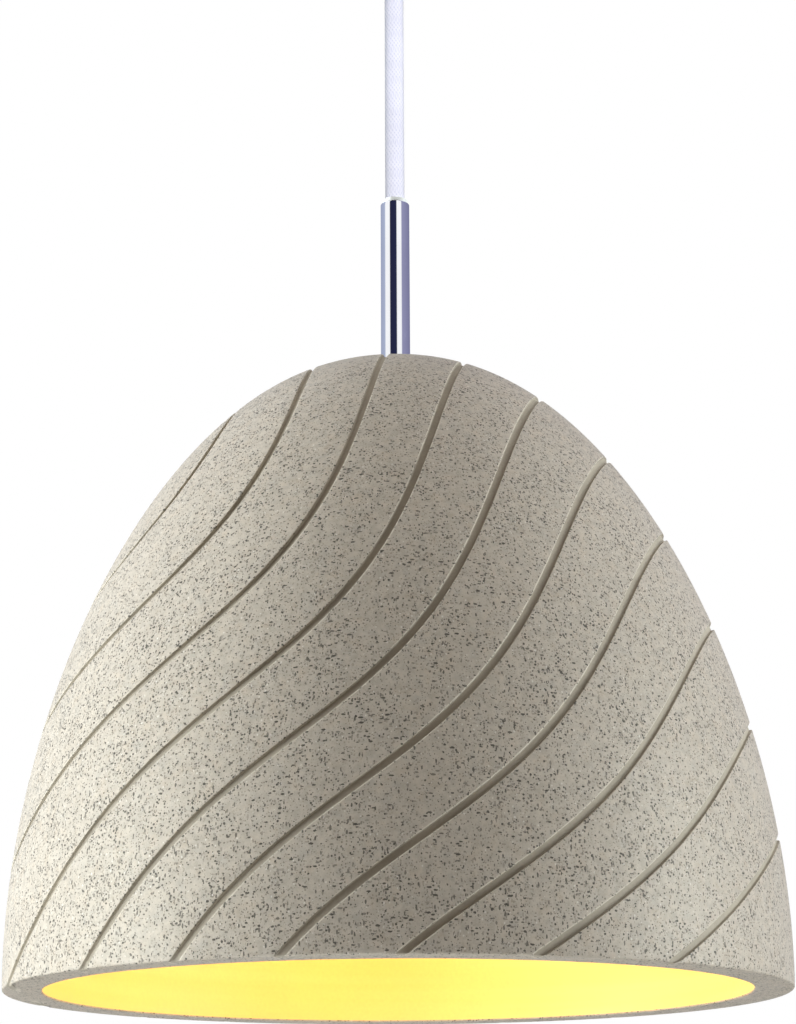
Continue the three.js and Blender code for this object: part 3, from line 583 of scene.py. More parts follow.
def stone_material():
    """Warm grey cast stone with dark grains and small pits; its groove floors are darker, partly their
    own smoother brown and partly painted shade of the recess, with a painted highlight along the lips.
    """
    made, tree, place, shader = start_material("cast stone")
    colours = bpy.context.scene.lamp_colours
    groove = add_node(tree, "ShaderNodeAttribute", {"attribute_name": "groove"}).outputs["Fac"]

    face, grain = tinted(tree, place, colours.stone, 0.88, 1.12, coarse=420.0, fine=1900.0)
    mottle = noise(tree, place, 260.0, 3.0, 0.6)
    face = grained(tree, mottle, 0.5, 0.72, 0.5, face, (1.02, 0.96, 0.9), "MULTIPLY")
    face = grained(tree, mottle, 0.48, 0.3, 0.5, face, (0.95, 0.98, 1.02), "MULTIPLY")

    dark = 0.0
    for *layer, depth in DARK_GRAINS:
        grains = grain_layer(tree, place, *layer)
        strength = map_range(tree, grains["Tone"], 0.0, 0.7, 0.3 * depth, depth)
        dark = calculate(tree, "MAXIMUM", dark, multiply(tree, grains["Mask"], strength))
    pale = grain_layer(tree, place, *PALE_GRAINS)["Mask"]
    ungrooved = calculate(tree, "SUBTRACT", 1.0, groove, clamp=True)
    dark = multiply(tree, dark, ungrooved)
    pale = multiply(tree, pale, ungrooved)

    # Groove floor colour: partly the floor's own smoother brown, partly painted shade of the recess
    floor, _ = tinted(tree, place, colours.groove, 0.9, 1.1, coarse=90.0, fine=1200.0)
    # Painted highlight: a paler band along both lips of each groove, where light catches the edge
    painted_lip_highlight = multiply(tree, map_range(tree, groove, 0.0, 0.02), map_range(tree, groove, 0.3, 0.1))
    face = blend_colours(tree, multiply(tree, painted_lip_highlight, 0.55), face, (0.66, 0.6, 0.5))
    colour = blend_colours(tree, map_range(tree, groove, 0.05, 0.5), face, floor)
    colour = blend_colours(tree, multiply(tree, pale, 0.5), colour, (0.78, 0.75, 0.7))
    colour = blend_colours(tree, multiply(tree, dark, 0.9), colour, tuple(colours.fleck))
    plug(tree, shader, "Base Color", colour)

    rough = map_range(tree, grain, *NOISE_SPAN, 0.42, 0.56)
    rough = calculate(tree, "ADD", rough, multiply(tree, groove, 0.2), clamp=True)
    plug(tree, shader, "Roughness", rough)
    pits = multiply(tree, dark, 0.8)
    relief = calculate(tree, "SUBTRACT", multiply(tree, grain, 0.25), pits)
    set_relief(tree, shader, relief, 0.12 * MM)
    plug(tree, shader, "Specular IOR Level", 0.4)
    plug(tree, shader, "Specular Tint", (1.0, 0.93, 0.8, 1.0))
    return made


def lining_material():
    """Smooth pale coated inside of the shade, its yellow a painted tint of the bulb's warm light, with
    faint bands left by the trowel.
    """
    made, tree, place, shader = start_material("shade lining")
    colour, grain = tinted(tree, place, bpy.context.scene.lamp_colours.lining, 0.95, 1.04, coarse=20.0)
    bands = noise(tree, stretched(tree, place, (4.0, 4.0, 160.0)), 1.0)
    share = map_range(tree, bands, 0.35, 0.65, 0.0, 0.35)
    colour = blend_colours(tree, share, colour, (1.0, 0.9, 0.72), "MULTIPLY")
    plug(tree, shader, "Base Color", colour)
    set_roughness(tree, shader, grain, 0.45, 0.6)
    set_relief(tree, shader, bands, 0.2 * MM)
    return made


def metal_material(name, colour, rough_low, rough_high, streaks=0.0):
    """Metal with faint handling marks in its gloss, and turning lines where it isn't polished."""
    made, tree, place, shader = start_material(name)
    tone, grain = tinted(tree, place, colour, 0.97, 1.03, coarse=60.0, fine=2500.0)
    plug(tree, shader, "Base Color", tone)
    marks = noise(tree, place, 180.0, 4.0, 0.65)
    plug(tree, shader, "Roughness", map_range(tree, marks, 0.35, 0.75, rough_low, rough_high))
    plug(tree, shader, "Metallic", 1.0)
    if streaks:
        lines = noise(tree, stretched(tree, place, (300.0, 300.0, 9000.0)), 1.0)
        set_relief(tree, shader, lines, streaks)
    else:
        set_relief(tree, shader, grain, 0.002 * MM)
    return made


def moulded_material(name, colour, rough, relief=0.02 * MM, coat=0.0):
    """Moulded or glazed material with an uneven tint and a fine skin."""
    made, tree, place, shader = start_material(name)
    tone, grain = tinted(tree, place, colour, 0.95, 1.04, coarse=70.0, fine=2200.0)
    plug(tree, shader, "Base Color", tone)
    set_roughness(tree, shader, grain, rough - 0.06, rough + 0.06)
    set_relief(tree, shader, grain, relief)
    plug(tree, shader, "Coat Weight", coat)
    return made


def braid_material():
    """White textile yarns, shaded in the gaps between them, each with its own fine filaments."""
    made, tree, place, shader = start_material("white braid")
    yarn = add_node(tree, "ShaderNodeAttribute", {"attribute_name": "yarn"}).outputs["Fac"]
    tone, grain = tinted(tree, place, bpy.context.scene.lamp_colours.cord, 0.96, 1.04, coarse=90.0)
    shade = map_range(tree, yarn, 0.0, 0.7, 1.0, 0.0)
    gaps = (0.62, 0.64, 0.78)
    colour = blend_colours(tree, multiply(tree, shade, 0.75), tone, gaps, "MULTIPLY")
    plug(tree, shader, "Base Color", colour)
    set_relief(tree, shader, noise(tree, place, 7000.0), 0.03 * MM, 0.6)
    set_roughness(tree, shader, grain, 0.7, 0.9)
    plug(tree, shader, "Sheen Weight", 0.25)
    plug(tree, shader, "Sheen Roughness", 0.4)
    return made


def opal_material():
    """Opal globe, lit from inside, a little dimmer towards its neck."""
    made, tree, place, shader = start_material("opal glass")
    glow = bpy.context.scene.lamp_colours.glow
    height = add_node(tree, "ShaderNodeSeparateXYZ", Vector=place).outputs["Z"]
    low, high = bottom("bulb_globe"), top("bulb_globe")
    dim = map_range(tree, height, high, low, 0.55, 1.0)
    light, grain = tinted(tree, place, glow, 0.97, 1.03, coarse=30.0)
    grey = add_node(tree, "ShaderNodeCombineColor", Red=dim, Green=dim, Blue=dim).outputs[0]
    plug(tree, shader, "Emission Color", blend_colours(tree, 1.0, light, grey, "MULTIPLY"))
    plug(tree, shader, "Emission Strength", GLOW_STRENGTH)
    plug(tree, shader, "Base Color", (0.9, 0.88, 0.82, 1))
    set_roughness(tree, shader, grain, 0.3, 0.4)
    return made


METALS = {
    "zinc": ("zinc plated steel", (0.62, 0.63, 0.65), 0.22, 0.42, 0.01 * MM),
    "brass": ("brass", (0.72, 0.53, 0.22), 0.2, 0.38, 0.01 * MM),
}
MOULDED = {
    "rubber": ("black rubber", (0.02, 0.02, 0.022), 0.75, 0.05 * MM),
    "porcelain": ("porcelain", (0.84, 0.82, 0.77), 0.3, 0.03 * MM, 0.6),
    "black glass": ("black glass", (0.012, 0.012, 0.015), 0.15, 0.01 * MM, 0.5),
    "driver board": ("driver board", (0.03, 0.12, 0.06), 0.45),
    "lamp board": ("lamp board", (0.85, 0.85, 0.82), 0.4),
    "brown wire": ("brown wire", (0.14, 0.06, 0.03), 0.4),
    "blue wire": ("blue wire", (0.03, 0.1, 0.36), 0.4),
    "green wire": ("green wire", (0.06, 0.3, 0.06), 0.4),
}
TEXTURED = {
    "stone": stone_material,
    "lining": lining_material,
    "braid": braid_material,
    "opal": opal_material,
}


def make_material(finish):
    colours = bpy.context.scene.lamp_colours
    if finish in TEXTURED:
        return TEXTURED[finish]()
    if finish in METALS:
        return metal_material(*METALS[finish])
    if finish in MOULDED:
        return moulded_material(*MOULDED[finish])
    if finish == "chrome":
        return metal_material("polished chrome", colours.chrome, 0.035, 0.09)
    return moulded_material("white plastic", colours.plastic, 0.38)


def material(finish):
    if finish not in material.made:
        material.made[finish] = make_material(finish)
    return material.made[finish]


material.made = {}


# --------------------------------------------------------------------------------------------------
# Studio
# --------------------------------------------------------------------------------------------------

CAMERA_DISTANCE = 787.5 * MM
CAMERA_DROP = 68.2 * MM  # below the rim
CAMERA_TILT = math.radians(16.18)  # upwards
CAMERA_LENS = 85.48  # millimetres, on a sensor SENSOR_WIDTH wide
CAMERA_ROLL = math.radians(0.26)
CAMERA_SHIFT = -0.0013
SENSOR_WIDTH = 36
FLOOR_LEVEL = -1.5

# Softboxes: bearing round the lamp from the camera, in degrees with right positive, distance, height
# above the rim, width, height, power in watts and colour
COOL, WARM = (0.9, 0.985, 1.0), (1.0, 0.78, 0.6)
MIRRORED = ("front left softbox", "right softbox")  # the lamps that show in polished metal
SOFTBOXES = {
    "left softbox": (-101, 1.3, 0.35, 0.4, 1.0, 11.5, COOL),
    "front left softbox": (-75, 1.3, 0.0, 0.5, 1.0, 20.2, COOL),
    "right softbox": (80, 1.3, 0.08, 0.5, 1.0, 16.8, COOL),
    "high left softbox": (-80, 0.9, 1.0, 0.7, 0.7, 6.4, COOL),
    "high right softbox": (80, 0.9, 1.0, 0.7, 0.7, 6.0, COOL),
    "low softbox": (-70, 0.5, -0.8, 0.5, 0.5, 3.0, COOL),
    "cord softbox": (15, 1.3, 0.3, 0.5, 0.5, 15.0, (1.0, 1.0, 1.0)),
    "overhead softbox": (180, 0.2, 1.5, 1.2, 1.2, 3.0, WARM),
}
AIM_HEIGHT = 100 * MM  # above the rim, where the softboxes point
AMBIENT = 0.12
FLOOR_SIZE = 12
FLOOR_GLOW = 0.62  # keeps the floor pale to the camera

# The room that polished metal mirrors: the colour at each bearing, in degrees
PANELS = (
    (-180, (0.33, 0.36, 0.5)),
    (-92, (0.42, 0.47, 0.62)),
    (-82, (1.0, 1.0, 1.0)),
    (-45, (1.0, 1.0, 1.0)),
    (-40, (0.018, 0.02, 0.055)),
    (10, (0.02, 0.024, 0.065)),
    (15, (1.0, 1.0, 1.0)),
    (49, (1.0, 1.0, 1.0)),
    (56, (0.3, 0.3, 0.46)),
    (180, (0.17, 0.17, 0.3)),
)


def add_softbox(name, bearing, distance, rise, width, height, power, colour):
    angle = math.radians(bearing)
    rim = bottom("shade")
    place = Vector((distance * math.sin(angle), -distance * math.cos(angle), rim + rise))
    target = Vector((0, 0, rim + AIM_HEIGHT))
    deselect()
    bpy.ops.object.light_add(type="AREA", location=place)
    lamp = bpy.context.object
    lamp.name = name
    lamp.rotation_euler = (target - place).to_track_quat("-Z", "Y").to_euler()
    lamp.data.shape = "RECTANGLE"
    lamp.data.size = width
    lamp.data.size_y = height
    lamp.data.energy = power
    lamp.data.color = colour
    lamp.visible_camera = False
    lamp.visible_glossy = name in MIRRORED


def light_apart(piece):
    """Lights a white piece by its own softbox in place of the strong ones, which would bleach it."""
    for name in ("left softbox", "front left softbox", "right softbox", "cord softbox"):
        lit = bpy.data.collections.new(f"{name} receivers")
        lit.objects.link(piece)
        state = "INCLUDE" if name == "cord softbox" else "EXCLUDE"
        lit.collection_objects[0].light_linking.link_state = state
        bpy.data.objects[name].light_linking.receiver_collection = lit


def studio_world():
    """White to the camera, a room of soft panels to polished metal, and an even fill to the rest."""
    world = bpy.data.worlds.new("studio")
    bpy.context.scene.world = world
    world.use_nodes = True
    tree = world.node_tree
    tree.nodes.clear()
    path = tree.nodes.new("ShaderNodeLightPath").outputs
    direction = add_node(tree, "ShaderNodeTexCoord").outputs["Generated"]
    axes = add_node(tree, "ShaderNodeSeparateXYZ", Vector=direction).outputs
    bearing = calculate(tree, "ARCTAN2", axes["X"], multiply(tree, axes["Y"], -1.0))
    share = calculate(tree, "ADD", calculate(tree, "DIVIDE", bearing, TURN), 0.5)
    room = tree.nodes.new("ShaderNodeValToRGB")
    plug(tree, room, "Fac", share)
    stops = room.color_ramp.elements
    for i, (degrees, colour) in enumerate(PANELS):
        stop = stops[i] if i < 2 else stops.new(1.0)  # a new ramp has two stops
        stop.position = degrees / 360 + 0.5
        stop.color = (*colour, 1)
    below = map_range(tree, axes["Z"], 0.0, -0.05)
    mirrored = blend_colours(tree, below, room.outputs["Color"], (0.95, 0.94, 1.0))
    lit = add_node(tree, "ShaderNodeBackground", Color=(*WARM, 1), Strength=AMBIENT).outputs[0]
    direct = calculate(tree, "MAXIMUM", path["Is Camera Ray"], path["Is Transmission Ray"])
    for share, colour in ((path["Is Glossy Ray"], mirrored), (direct, (1, 1, 1, 1))):
        instead = add_node(tree, "ShaderNodeBackground", Color=colour, Strength=1.0).outputs[0]
        mixed = add_node(tree, "ShaderNodeMixShader", Fac=share)
        plug(tree, mixed, 1, lit)
        plug(tree, mixed, 2, instead)
        lit = mixed.outputs[0]
    add_node(tree, "ShaderNodeOutputWorld", Surface=lit)


def studio_floor():
    deselect()
    bpy.ops.mesh.primitive_plane_add(size=FLOOR_SIZE, location=(0, 0, FLOOR_LEVEL))
    floor = bpy.context.object
    floor.name = "studio_floor"
    made, tree, place, shader = start_material("studio floor")
    tone, _ = tinted(tree, place, (0.84, 0.84, 0.85), 0.99, 1.01, coarse=1.5, fine=40.0)
    plug(tree, shader, "Base Color", tone)
    plug(tree, shader, "Roughness", 0.8)
    seen = tree.nodes.new("ShaderNodeLightPath").outputs["Is Camera Ray"]
    plug(tree, shader, "Emission Color", (1, 1, 1, 1))
    plug(tree, shader, "Emission Strength", multiply(tree, seen, FLOOR_GLOW))
    floor.data.materials.append(made)


class LAMP_OT_studio(bpy.types.Operator):
    """Set up the camera, the soft lights, the white room and the pale floor"""

    bl_idname = "lamp.studio"
    bl_label = "Studio"

    def execute(self, context):
        place = (0, -CAMERA_DISTANCE, bottom("shade") - CAMERA_DROP)
        deselect()
        turn = (math.pi / 2 + CAMERA_TILT, CAMERA_ROLL, 0)
        bpy.ops.object.camera_add(location=place, rotation=turn)
        camera = context.object
        camera.data.lens = CAMERA_LENS
        camera.data.sensor_width = SENSOR_WIDTH
        camera.data.clip_start = 0.01
        camera.data.shift_x = CAMERA_SHIFT
        context.scene.camera = camera
        context.scene.view_settings.view_transform = "Standard"
        for name, facts in SOFTBOXES.items():
            add_softbox(name, *facts)
        studio_world()
        studio_floor()
        return {"FINISHED"}


# --------------------------------------------------------------------------------------------------
# Shade
# --------------------------------------------------------------------------------------------------

# Section across one side of a groove: distance from its middle in half widths, share of its full depth
GROOVE_SECTION = (
    (1.3, 0.0),
    (1.08, 0.02),
    (0.99, 0.1),
    (0.95, 0.45),
    (0.91, 0.85),
    (0.84, 0.98),
    (0.7, 1.0),
)
GROOVE_FIRST = -6.76  # the uppermost groove on the left, in spacings from the middle of the rim
WAVE_START = math.radians(133)
GROOVE_SPREAD = 0.082  # the grooves draw apart by this much at SPREAD_REACH along them
SPREAD_REACH = 100 * MM
SHADE_COLUMNS = 176
RIM_FADE = 4 * MM  # how far a groove's notch runs in under the rim
HOLE_FADE = 4 * MM  # how far a groove fades out before the stem's hole
MASK_GAIN = 1.15  # of the grooves' mask, so that it's full over the whole of a floor
HOLE_RADIUS = 5.3 * MM
SEAT_RADIUS = 9 * MM
CROWN_WALL = 13 * MM


def shade_curve(sizes, steps):
    """Points down the outside of the shade's section, as (radius, level)."""
    rim, crown = bottom("shade"), top("shade")
    wide = sizes.shade_radius
    pulls = ((SEAT_RADIUS, crown), (74 * MM, crown), (wide + 3 * MM, rim + 97 * MM), (wide, rim))
    return [(p.x, p.y) for p in interpolate_bezier(*(Vector((*pull, 0)) for pull in pulls), steps)]


def shade_outline(sizes):
    """Corners of the shade's section: down the outside, round the rim, up the inside to the hole."""
    rim, crown = bottom("shade"), top("shade")
    wide = sizes.shade_radius
    inner = wide - sizes.rim_wall
    fillet = sizes.rim_round
    roof = crown - CROWN_WALL
    pulls = ((22 * MM, roof), (68 * MM, roof), (wide - 9 * MM, rim + 91 * MM), (inner, rim))
    inside = interpolate_bezier(*(Vector((*pull, 0)) for pull in pulls), 48)
    shoulder = [(HOLE_RADIUS, crown - 0.3 * MM), (HOLE_RADIUS + 0.3 * MM, crown), (7.2 * MM, crown)]
    outside = [point for point in shade_curve(sizes, 88) if point[1] > rim + fillet]
    outer_edge = arc(wide - fillet, rim + fillet, fillet, 0, -90, 4)
    face = [(wide - fillet - (sizes.rim_wall - 2 * fillet) * i / 6, rim) for i in range(1, 6)]
    inner_edge = arc(inner + fillet, rim + fillet, fillet, -90, -180, 4)
    hollow = [(p.x, p.y) for p in reversed(inside) if p.y > rim + fillet]
    within = [*inner_edge, *hollow, (HOLE_RADIUS, roof)]
    return [*shoulder, *outside, *outer_edge, *face, *within, shoulder[0]]


def groove_number(x, height, sizes):
    """How many grooves across the front of the dome a point is, from the uppermost on the left."""
    along = x * math.cos(sizes.groove_lean) + height * math.sin(sizes.groove_lean)
    across = x * math.sin(sizes.groove_lean) - height * math.cos(sizes.groove_lean)
    wave = sizes.wave_height * math.sin(TURN * along / sizes.wave_length + WAVE_START)
    spread = 1 - GROOVE_SPREAD * (along / SPREAD_REACH) ** 2
    return (across * spread + wave) / sizes.groove_spacing - GROOVE_FIRST


def nearest_groove(corner, sizes):
    """The groove nearest to a corner of the skin, and the corner's distance from its middle."""
    x, height = corner.co.x, corner.co.z - bottom("shade")
    value = groove_number(x, height, sizes)
    number = min(max(round(value), 0), sizes.groove_count - 1)
    step = 0.1 * MM
    slope = Vector((
        (groove_number(x + step, height, sizes) - value) / step,
        0,
        (groove_number(x, height + step, sizes) - value) / step,
    ))
    return number, (value - number) / (slope - corner.normal * slope.dot(corner.normal)).length


def groove_share(offset, sizes):
    """Share of the full depth at a distance from the middle of a groove."""
    place = abs(offset) / (sizes.groove_width / 2)
    if place >= GROOVE_SECTION[0][0]:
        return 0.0
    for (far, shallow), (near, deep) in zip(GROOVE_SECTION, GROOVE_SECTION[1:]):
        if place >= near:
            return shallow + (deep - shallow) * (far - place) / (far - near)
    return 1.0


def score_grooves(mesh, sizes):
    """Cuts the edges of the grooves into the skin; returns each corner's groove and offset."""
    rim = bottom("shade")
    under = sizes.shade_radius - sizes.rim_round - RIM_FADE
    places = {}
    for corner in mesh.verts:
        x, y, level = corner.co
        outwards = (x, y, 0.5 * (level - rim))
        outside = level > rim + HAIR and corner.link_faces[0].normal.dot(outwards) > 0
        if outside or math.hypot(x, y) > under:
            places[corner] = nearest_groove(corner, sizes)
    for share, _ in GROOVE_SECTION:
        for level in (share * sizes.groove_width / 2, -share * sizes.groove_width / 2):
            crossed = []
            for side in mesh.edges:
                start, end = (places.get(corner) for corner in side.verts)
                if start and end and start[0] == end[0] and (start[1] - level) * (end[1] - level) < 0:
                    crossed.append((side, start, end))
            made = []
            for side, start, end in crossed:
                part = (level - start[1]) / (end[1] - start[1])
                corner = bmesh.utils.edge_split(side, side.verts[0], part)[1]
                places[corner] = (start[0], level)
                made.append(corner)
            bmesh.ops.connect_verts(mesh, verts=made)
    return places


def sink_grooves(mesh, places, sizes):
    """Lays the scored skin on the dome's curve and sinks the grooves into it."""
    rim, crown = bottom("shade"), top("shade")
    curve = shade_curve(sizes, 600)
    nearest = KDTree(len(curve))
    for i, (radius, level) in enumerate(curve):
        nearest.insert((radius, level, 0), i)
    nearest.balance()
    mask = mesh.verts.layers.float["groove"]
    for corner, (_, offset) in places.items():
        radius, level = math.hypot(corner.co.x, corner.co.y), corner.co.z
        spot = Vector((radius, level))
        inward, fade = Vector((-1, 0)), 1.0
        if level < rim + HAIR:
            fade = min(1.0, max(0.0, 1 - (sizes.shade_radius - sizes.rim_round - radius) / RIM_FADE))
        elif level > crown - HAIR and radius < SEAT_RADIUS:
            inward = Vector((0, -1))
            fade = max(0.0, (radius - HOLE_RADIUS) / HOLE_FADE)
        elif level > rim + sizes.rim_round + HAIR:
            index = min(max(nearest.find((radius, level, 0))[1], 1), len(curve) - 2)
            along = (Vector(curve[index + 1]) - Vector(curve[index - 1])).normalized()
            inward = Vector((along.y, -along.x))
            spot -= inward * inward.dot(spot - Vector(curve[index]))
            fade = min(1.0, (radius - HOLE_RADIUS) / HOLE_FADE)
        share = fade * groove_share(offset, sizes)
        corner[mask] = min(1.0, MASK_GAIN * share)
        spot += inward * share * sizes.groove_depth
        corner.co = (corner.co.x * spot.x / radius, corner.co.y * spot.x / radius, spot.y)


class LAMP_OT_shade(bpy.types.Operator):
    """Cast the stone shade with its wavy grooves and coated inside"""

    bl_idname = "lamp.shade"
    bl_label = "Shade"

    def execute(self, context):
        sizes = context.scene.lamp_sizes
        piece = spun("stone_shade", shade_outline(sizes), SHADE_COLUMNS)
        piece.data.attributes.new("groove", "FLOAT", "POINT")
        edit(piece)
        mesh = bmesh.from_edit_mesh(piece.data)
        sink_grooves(mesh, score_grooves(mesh, sizes), sizes)
        bmesh.update_edit_mesh(piece.data)
        bpy.ops.mesh.dissolve_degenerate(threshold=NEEDLE)
        close_edit()
        finish_piece(piece, "stone", "pendant", "shade", angle=50)
        piece.data.materials.append(material("lining"))
        grooved = piece.data.attributes["groove"].data
        lining_level = bottom("shade") + sizes.rim_round
        for face in piece.data.polygons:
            outward = face.center.x * face.normal.x + face.center.y * face.normal.y
            inside = outward < 0 and not any(grooved[corner].value for corner in face.vertices)
            if (inside or face.normal.z < -0.99) and face.center.z > lining_level:
                face.material_index = 1
        return {"FINISHED"}


# --------------------------------------------------------------------------------------------------
# Cord
# --------------------------------------------------------------------------------------------------

CARRIERS = 16  # yarns wound each way
YARN_SAMPLES = 8  # corners across a yarn
YARN_RISE = 2.4  # rise of a yarn in a quarter turn, in radii of the cord
CORD_STEPS = 300


def braided(name, radius, low, high, relief, samples=YARN_SAMPLES, steps=CORD_STEPS):
    """A braided tube: yarns wound both ways that pass over and under each other."""
    around = CARRIERS * samples
    piece = drum(name, radius, low, high, around)
    edit(piece)
    bpy.ops.mesh.select_mode(type="EDGE")
    bpy.ops.mesh.select_all(action="DESELECT")
    mesh = bmesh.from_edit_mesh(piece.data)
    for side in mesh.edges:
        side.select_set(abs(side.verts[0].co.z - side.verts[1].co.z) > (high - low) / 2)
    bmesh.update_edit_mesh(piece.data)
    bpy.ops.mesh.subdivide(number_cuts=steps - 1)
    tidy_skin()
    heights = [0.0] * len(piece.data.vertices)
    rise = YARN_RISE * radius
    for corner in piece.data.vertices:
        around_share = math.atan2(corner.co.y, corner.co.x) / TURN * CARRIERS
        along_share = (corner.co.z - low) / rise * CARRIERS / 4
        one, other = around_share + along_share, around_share - along_share
        over = (math.floor(one) + math.floor(other)) % 2 == 0
        across, along = (one % 1, other % 1) if over else (other % 1, one % 1)
        height = math.sin(math.pi * across) ** 0.8 * math.sin(math.pi * along) ** 0.4
        heights[corner.index] = height
        scale = (radius - relief * (1 - height)) / radius
        corner.co.x *= scale
        corner.co.y *= scale
    mark = piece.data.attributes.new("yarn", "FLOAT", "POINT")
    mark.data.foreach_set("value", heights)
    return piece


class LAMP_OT_cord(bpy.types.Operator):
    """Braid the cord between the bush and the ceiling grip"""

    bl_idname = "lamp.cord"
    bl_label = "Cord"

    def execute(self, context):
        sizes = context.scene.lamp_sizes
        low, high = bottom("cord"), top("cord")
        piece = braided("braided_cord", sizes.cord_radius, low, high, sizes.yarn_relief)
        finish_piece(piece, "braid", "cord", "cord", angle=80)
        route = [(0, 0, low + (high - low) * i / 16) for i in range(17)]
        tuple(route[0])
        light_apart(piece)
        return {"FINISHED"}


# --------------------------------------------------------------------------------------------------
# Stem
# --------------------------------------------------------------------------------------------------


class LAMP_OT_stem(bpy.types.Operator):
    """Turn the chromed stem, its bush and the washer it stands on"""

    bl_idname = "lamp.stem"
    bl_label = "Stem"

    def execute(self, context):
        sizes = context.scene.lamp_sizes
        radius = sizes.stem_radius
        low, high = bottom("stem_tube"), top("stem_tube")
        bore, mouth, mouth_depth = 3.9 * MM, 4.5 * MM, 7 * MM
        outline = [
            (mouth, high),
            (radius, high),
            *stretch(radius, high - 1 * MM, low, 12 * MM),
            (bore, low),
            (bore, high - mouth_depth),
            (mouth, high - mouth_depth),
            (mouth, high),
        ]
        stem = soften(spun("chrome_stem", outline, 96), 0.28 * MM)
        finish_piece(stem, "chrome", "pendant", "stem_tube")

        flange, flange_top, flange_low = reach("cord_bush"), top("cord_bush"), high + CLEARANCE
        eye = sizes.cord_radius + 0.12 * MM
        spigot = mouth - CLEARANCE
        outline = [
            (eye, flange_top),
            (flange, flange_top),
            (flange, flange_low),
            (spigot, flange_low),
            (spigot, bottom("cord_bush")),
            (eye, bottom("cord_bush")),
            (eye, flange_top),
        ]
        bush = soften(spun("cord_bush_ring", outline, 72), 0.3 * MM)
        finish_piece(bush, "plastic", "pendant", "cord_bush")

        washer = ring(
            "crown_washer",
            radius + 0.15 * MM,
            reach("seat_washer"),
            bottom("seat_washer"),
            top("seat_washer"),
        )
        finish_piece(soften(washer, 0.3 * MM), "chrome", "pendant", "seat_washer")
        return {"FINISHED"}


# --------------------------------------------------------------------------------------------------
# Small hardware, used in several places
# --------------------------------------------------------------------------------------------------


def slab(name, outline, low, high):
    """A flat body between two levels, with an outline of (x, y) corners."""
    piece = chain(name, [(x, y, low) for x, y in outline])
    bpy.ops.mesh.select_all(action="SELECT")
    bpy.ops.mesh.edge_face_add()
    bpy.ops.mesh.extrude_region_move(TRANSFORM_OT_translate={"value": (0, 0, high - low)})
    tidy_skin()
    return piece


def upright(piece):
    """Stands a body that was drawn flat on its edge: its Y becomes Z, and its Z runs towards -Y."""
    return turn_piece(piece, math.pi / 2, "X")


def rod_along(axis, radius, start, end, place, steps=32):
    """A round cutter along X or Y, at a place given by its other two coordinates."""
    tool = drum("cutter", radius, start, end, steps)
    if axis == "X":
        turn_piece(tool, math.pi / 2, "Y")
        return move_piece(tool, (0, *place))
    turn_piece(tool, -math.pi / 2, "X")
    return move_piece(tool, (place[0], 0, place[1]))


def fitted_nut(name, body, node, bore):
    """A hexagon nut in a node's place, with its corners turned off at both ends."""
    radius, low, high = reach(node), bottom(node), top(node)
    nut = drum(name, radius, low, high, 6)
    turn_piece(nut, math.radians(30), "Z")
    flat = radius * math.cos(math.radians(30))
    slope = (radius - flat) * 0.6
    side = [(radius, low + slope), (radius, high - slope)]
    outline = [(0, low), (flat, low), *side, (flat, high), (0, high)]
    combine(nut, spun("cutter", outline, 64), "INTERSECT")
    drill(nut, bore, low, high)
    return finish_piece(soften(nut, 0.12 * MM), "zinc", body, node)


def thread_outline(radius, start, end, pitch, depth):
    """Corners of a fine screw thread, drawn as rings from one level to another."""
    count = max(1, round(abs(end - start) / pitch))
    step = (end - start) / count
    corners = [(radius - depth, start)]
    for i in range(count):
        corners.append((radius, start + (i + 0.45) * step))
        corners.append((radius, start + (i + 0.55) * step))
        corners.append((radius - depth, start + (i + 1) * step))
    return corners


def slotted_screw(name, head_radius, head_height, shank_radius, shank_length, slot_width=PAN_SLOT):
    """A slotted pan-head screw along Z: its head's seat is at the origin and the shank points up."""
    dome = [
        (head_radius * math.cos(a), -head_height * math.sin(a))
        for a in (math.pi / 2 * i / 7 for i in range(6, -1, -1))
    ]
    shank = thread_outline(shank_radius, 0.4 * MM, shank_length - 0.5 * MM, 0.7 * MM, 0.28 * MM)
    tip = [(shank_radius * 0.6, shank_length), (0, shank_length)]
    screw = spun(name, [(0, -head_height), *dome, (shank_radius, 0), *shank, *tip], 40)
    slot_depth = head_height * 0.45
    cutter = block("cutter", (0, 0, -head_height), (3 * head_radius, slot_width, 2 * slot_depth))
    return carve(screw, cutter)


def screw_over(name, node, x, head_radius, head_height, shank_radius, slot_width=PAN_SLOT):
    """A slotted screw with its head down, as long as a node is high, at a distance x along X."""
    low, high = bounds_of(node)
    shank_length = high.z - low.z - head_height
    screw = slotted_screw(name, head_radius, head_height, shank_radius, shank_length, slot_width)
    return move_piece(screw, (x, 0, low.z + head_height))


def tap_for_grub(piece, node, outside, bore):
    """Cuts a grub screw's hole along Y through the front wall of a piece."""
    return carve(piece, rod_along("Y", 1.8 * MM, -outside - MM, -bore * 0.5, (0, middle(node).z)))


def grub_screw(name, body, node):
    """A hexagon-socket set screw along Y, in a node's place."""
    radius, (start, end) = 1.5 * MM, (corner.y for corner in bounds_of(node))
    screw = spun(
        name,
        [
            (0, start),
            (radius - 0.3 * MM, start),
            *thread_outline(radius, start + 0.25 * MM, end - 0.25 * MM, 0.5 * MM, 0.18 * MM),
            (radius * 0.5, end),
            (0, end),
        ],
        32,
    )
    carve(screw, drum("cutter", radius * 0.55, start - MM, start + 1.2 * MM, 6))
    turn_piece(screw, -math.pi / 2, "X")
    move_piece(screw, (0, 0, middle(node).z))
    return finish_piece(screw, "zinc", body, node)


